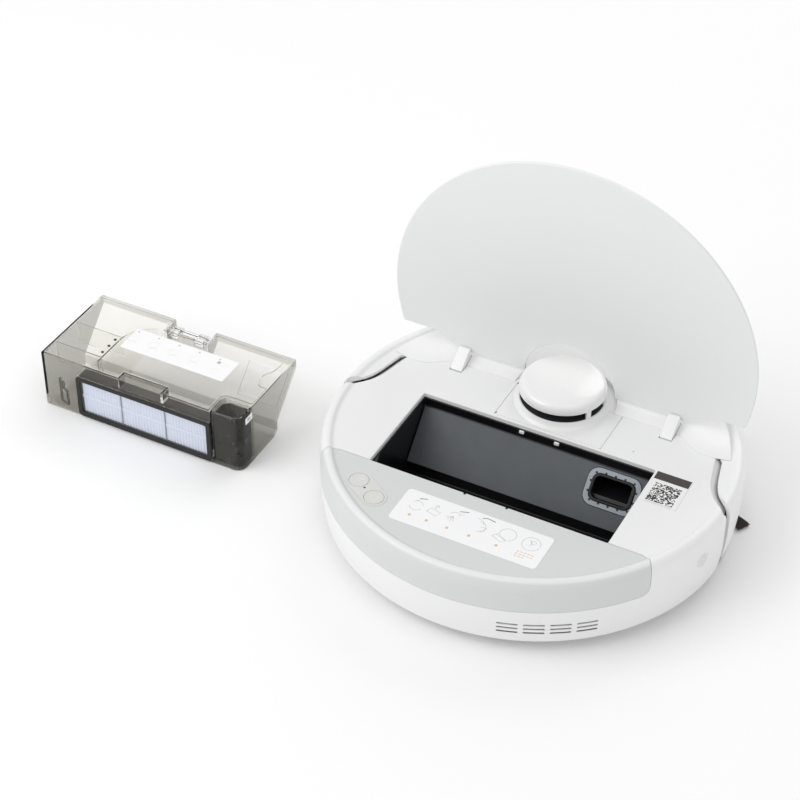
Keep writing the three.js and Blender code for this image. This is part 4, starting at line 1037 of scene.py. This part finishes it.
# ------------------------------------------------------------------ small things on the bin
def bin_details():
    """The dark lining of the near corner well, the clip beside the filter, three rivets and a small mark."""
    near, right = BIN_Y0, BIN_X1
    plan = arc(right - WELL_CORNER_R, near + WELL_CORNER_R, WELL_CORNER_R - 2.6, -90, 0, 8)
    plan += [(right - 2.6, near + 21), (right - 22, near + 21)]
    plan += [(right - 27, near + 17), (right - 27.6, near + 2.6)]
    lining = prism("well_lining", plan, 2.4, BIN_TOP - 3.0)
    cut(lining, prism("inside", grown(plan, -0.8), 3.4, 90))
    ride(paint(soften(lining, 0.3), SMOKE_DARK), "bin", "bin_smoke")
    clip = ribbon([(-419.5, 34), (-419.5, 9), (-413, 6), (-413, 21), (-416.5, 23), (-416.5, 31)], 1.5, 0, 2.6)
    clip.name = "filter_clip"
    clip.data.transform(Matrix.Translation(-point(0, 0, 0)))
    clip.data.transform(Matrix.Rotation(math.radians(90), 4, "X"))
    clip.data.transform(Matrix.Translation(point(0, BIN_Y0 + 2.9, 0)))
    ride(paint(soften(clip, 0.2), SMOKE_CLIP_AND_END_SHADE), "bin", "bin_smoke")
    head = [(0, 54.3), (1.35, 54.3), (1.35, 54.9), (0, 55.1)]
    rivets = [lathe("rivet", head, -390.4, y, 12) for y in (-31, -41, -51)]
    ride(paint(shade(merge("bin_rivets", rivets)), INK_DARK_AND_PINHOLE_SHADE), "bin", "bin_smoke")
    mark = block("bin_mark", right + 0.02, right + 0.12, near + 9.5, near + 20.5, 46.4, 53.0)
    ride(paint(mark, LABEL), "bin", "label_paper")
    spot = block("bin_mark_spot", right + 0.12, right + 0.2, near + 12.6, near + 17.4, 48.2, 51.2)
    ride(paint(spot, INK_AND_HOLE_SHADE), "bin", "label_paper")


# ------------------------------------------------------------------ running gear
def tyres():
    """Each tyre has two rows of lugs, set half a step apart."""
    for word in ("left", "right"):
        low, high = span_mm(f"wheel_tyre_{word}", 0)
        middle, r = (low + high) / 2, (span_mm(f"wheel_tyre_{word}", 2)[1]) / 2
        axle_z = r

        def gear(shift, lugs=34, root=1.7):
            outline = []
            for i in range(lugs):
                for offset, radius in ((-0.30, r - root), (-0.24, r), (0.24, r), (0.30, r - root)):
                    a = 2 * math.pi * (i + shift + offset) / lugs
                    outline.append((radius * math.cos(a), axle_z + radius * math.sin(a)))
            return outline

        rows = [
            prism_x("row", gear(0.0), low, middle - 0.9),
            prism_x("row", gear(0.5), middle + 0.9, high),
            prism_x("core", arc(0, axle_z, r - 2.2, 0, 355, 71), middle - 1.4, middle + 1.4),
        ]
        for row in rows:
            cut(row, prism_x("bore", arc(0, axle_z, 26.6, 0, 354, 59), low - 5, high + 5))
            soften(row, 0.25)
        tyre = merge(f"tyre_{word}", rows)
        ride(paint(tyre, RUBBER), f"wheel_{word}", "tyre_rubber", f"wheel_tyre_{word}")


def side_brush():
    """Three tufts of loose bristles that fan out, each held by a short sleeve."""
    joint = next(j for j in frame["joints"] if j["name"] == "side_brush_spin")
    x, y = joint["pos_m"][0] / MM - CENTRE_X, joint["pos_m"][1] / MM
    for number, turned_by in enumerate((-28.8, 91.2, 211.2), 1):
        chance = random.Random(number)
        verts, faces = [], []
        for _ in range(190):
            root, spread = chance.uniform(-1.9, 1.9), chance.uniform(-6.2, 6.2)
            low = chance.uniform(-0.7, 0.9)
            reach = chance.uniform(69.5, 72.5)
            base = len(verts)
            for step in range(5):
                t = step / 4
                along, across = 10 + t * (reach - 10), root + (spread - root) * t * t
                thick = 0.34 * (1 - 0.35 * t)
                height = 4.9 - 2.9 * t + low * t
                for angle in (90, 210, 330):
                    a = math.radians(angle)
                    verts.append((x + along, y + across + thick * math.cos(a), height + thick * math.sin(a)))
            for step in range(4):
                for k in range(3):
                    a, b = base + 3 * step + k, base + 3 * step + (k + 1) % 3
                    faces.append([a, b, b + 3, a + 3])
            faces += [[base, base + 1, base + 2], [base + 12, base + 13, base + 14]]
        tuft = turn(new_piece(f"bristles_{number}", verts, faces), turned_by, "Z", (x, y, 0))
        ride(paint(tuft, BRISTLE), "side_brush", "bristle_dark", f"side_brush_tuft_{number}")
        sleeve = prism("sleeve", pill(10, 0, 19, 0, 2.9, 8), 3.2, 6.8)
        sleeve.data.transform(Matrix.Translation((x * MM, y * MM, 0)))
        turn(soften(sleeve, 0.8), turned_by, "Z", (x, y, 0))
        sleeve.name = f"bristle_sleeve_{number}"
        ride(paint(sleeve, RUBBER), "side_brush", "hub_graphite")


upper_housing()
slot_lining()
vent_lining()
rear_cover()
front_cover()
bumper()
base_pan()
speaker()
lid()
turret()
inlet_dots()
guide_print()
code_print()
bin_print()
buttons()
filter_pieces()
bin_details()
tyres()
side_brush()

# ------------------------------------------------------------------ CAD nodes that only get rounded edges
# Each has its material, the width of its rounded edges, and any further planes that split its pierced faces.
KEPT = {
    "hinge_arm_left": (WHITE, 0.6, (2, 70.0)), "hinge_arm_right": (WHITE, 0.6, (2, 70.0)),
    "hinge_pin_left": (STEEL, 0.2), "hinge_pin_right": (STEEL, 0.2),
    "bin_bay": (BAY_BLACK, 0.8, (0, 74.0)), "bay_sloped_panel": (SLOPE_GREY, 0.3, (0, 74.0)),
    "inlet_frame": (INLET_GREY, 0.5), "inlet_seal": (RUBBER, 0.6),
    "bin_catch_1": (WHITE, 0.4), "bin_catch_2": (WHITE, 0.4), "lidar_head": (DARK, 0.3),
    "guide_label": (LABEL, 0.05), "code_label": (WHITE, 0.05), "exhaust_insert": (DARK, 0.2),
    "battery": (DARK, 1.5), "main_board": (BOARD, 0.2), "fan_housing": (DARK, 0.5),
    "fan_impeller": (DARK, 0.2), "brush_tunnel": (DARK, 0.3, (0, 72.0)), "suction_duct": (BAY_BLACK, 0.3),
    "main_brush": (RUBBER, 0.5), "brush_frame": (DARK, 0.4), "side_brush_motor": (DARK, 0.6),
    "side_brush_hub": (DARK, 0.4), "caster_fork": (DARK, 0.5, (2, 11.0)), "caster_roller": (RUBBER, 0.8),
    "wheel_arm_left": (DARK, 0.8), "wheel_arm_right": (DARK, 0.8),
    "wheel_hub_left": (HUB_GREY, 0.6), "wheel_hub_right": (HUB_GREY, 0.6),
    "charge_contact_left": (GOLD, 0.15), "charge_contact_right": (GOLD, 0.15),
    "bin_shell": (SMOKE, 0.25, (0, -249.0), (0, -332.0)),
    "bin_lid": (SMOKE_LID, 0.4), "bin_hinge_pin": (STEEL, 0.2),
    "bin_partition": (SMOKE, 0.2), "filter_frame": (FRAME_GREY, 0.3), "inlet_flap": (SMOKE, 0.2),
    "bin_label": (LABEL, 0.05),
}


def paint_wall_shade(piece):
    """Painted shade: the bin's upright walls get a darker tint than its floor and lid, and its right end the
    darkest.
    """
    piece.data.materials.append(SMOKE_WALL_SHADE)
    piece.data.materials.append(SMOKE_CLIP_AND_END_SHADE)
    for polygon in piece.data.polygons:
        if abs(polygon.normal.z) < 0.5:
            polygon.material_index = 2 if polygon.normal.x > 0.5 else 1


def keep_nodes():
    for node, (material, width, *planes) in KEPT.items():
        piece = soften(cad_copy(node, node + "_piece", *planes), width)
        record = frame["record"]
        slot = next(s["material_slot"] for s in record["subparts"] if s["node"] == node)
        body = next(b for b, nodes in record["behaviour"]["bodies"].items() if node in nodes)
        ride(paint(piece, material), body, slot, node)
        # the bin shell's upright walls get painted shade
        if node == "bin_shell":
            paint_wall_shade(piece)


keep_nodes()


# ------------------------------------------------------------------ floor, light and camera
def stage():
    half = 6000
    corners = [(-half, -half, 0), (half, -half, 0), (half, half, 0), (-half, half, 0)]
    floor = new_piece("floor", corners, [[0, 1, 2, 3]])
    floor.data.transform(Matrix.Translation((0, 0, -0.0002)))
    paint(floor, plastic("pale_floor", (0.97, 0.97, 0.97), 0.8, 0.004, 40, 0.02))
    world = bpy.data.worlds.new("studio")
    bpy.context.scene.world = world
    world.use_nodes = True
    world.node_tree.nodes["Background"].inputs["Color"].default_value = (1, 1, 1, 1)
    world.node_tree.nodes["Background"].inputs["Strength"].default_value = 0.70


def area_light(name, spot, aim, size, power):
    light = bpy.data.lights.new(name, "AREA")
    light.shape = "SQUARE"
    light.size = size
    light.energy = power
    holder = bpy.data.objects.new(name, light)
    bpy.context.scene.collection.objects.link(holder)
    holder.location = spot
    holder.rotation_mode = "QUATERNION"
    holder.rotation_quaternion = (Vector(aim) - Vector(spot)).to_track_quat("-Z", "Y")


def camera():
    azimuth, elevation, roll = math.radians(27.56), math.radians(39.31), math.radians(0.33)
    forward = Vector((
        -math.sin(azimuth) * math.cos(elevation),
        math.cos(azimuth) * math.cos(elevation),
        -math.sin(elevation),
    ))
    data = bpy.data.cameras.new("camera")
    data.sensor_width = 36.0
    data.lens = 95.33
    holder = bpy.data.objects.new("camera", data)
    bpy.context.scene.collection.objects.link(holder)
    holder.location = (0.64735, -1.22571, 1.19915)
    holder.rotation_mode = "QUATERNION"
    level = forward.to_track_quat("-Z", "Y")
    holder.rotation_quaternion = level @ Matrix.Rotation(roll, 3, "Z").to_quaternion()
    bpy.context.scene.camera = holder


stage()
area_light("key", (-1.25, -1.15, 1.75), (0.05, 0, 0.05), 1.7, 22.5)
area_light("fill", (2.0, -1.0, 1.6), (0.1, 0, 0.05), 1.8, 3)
area_light("back", (0.3, 1.9, 1.7), (0.13, 0, 0.05), 1.6, 10)
camera()
bpy.context.scene.view_settings.view_transform = "Standard"
bpy.context.scene.view_settings.look = "None"
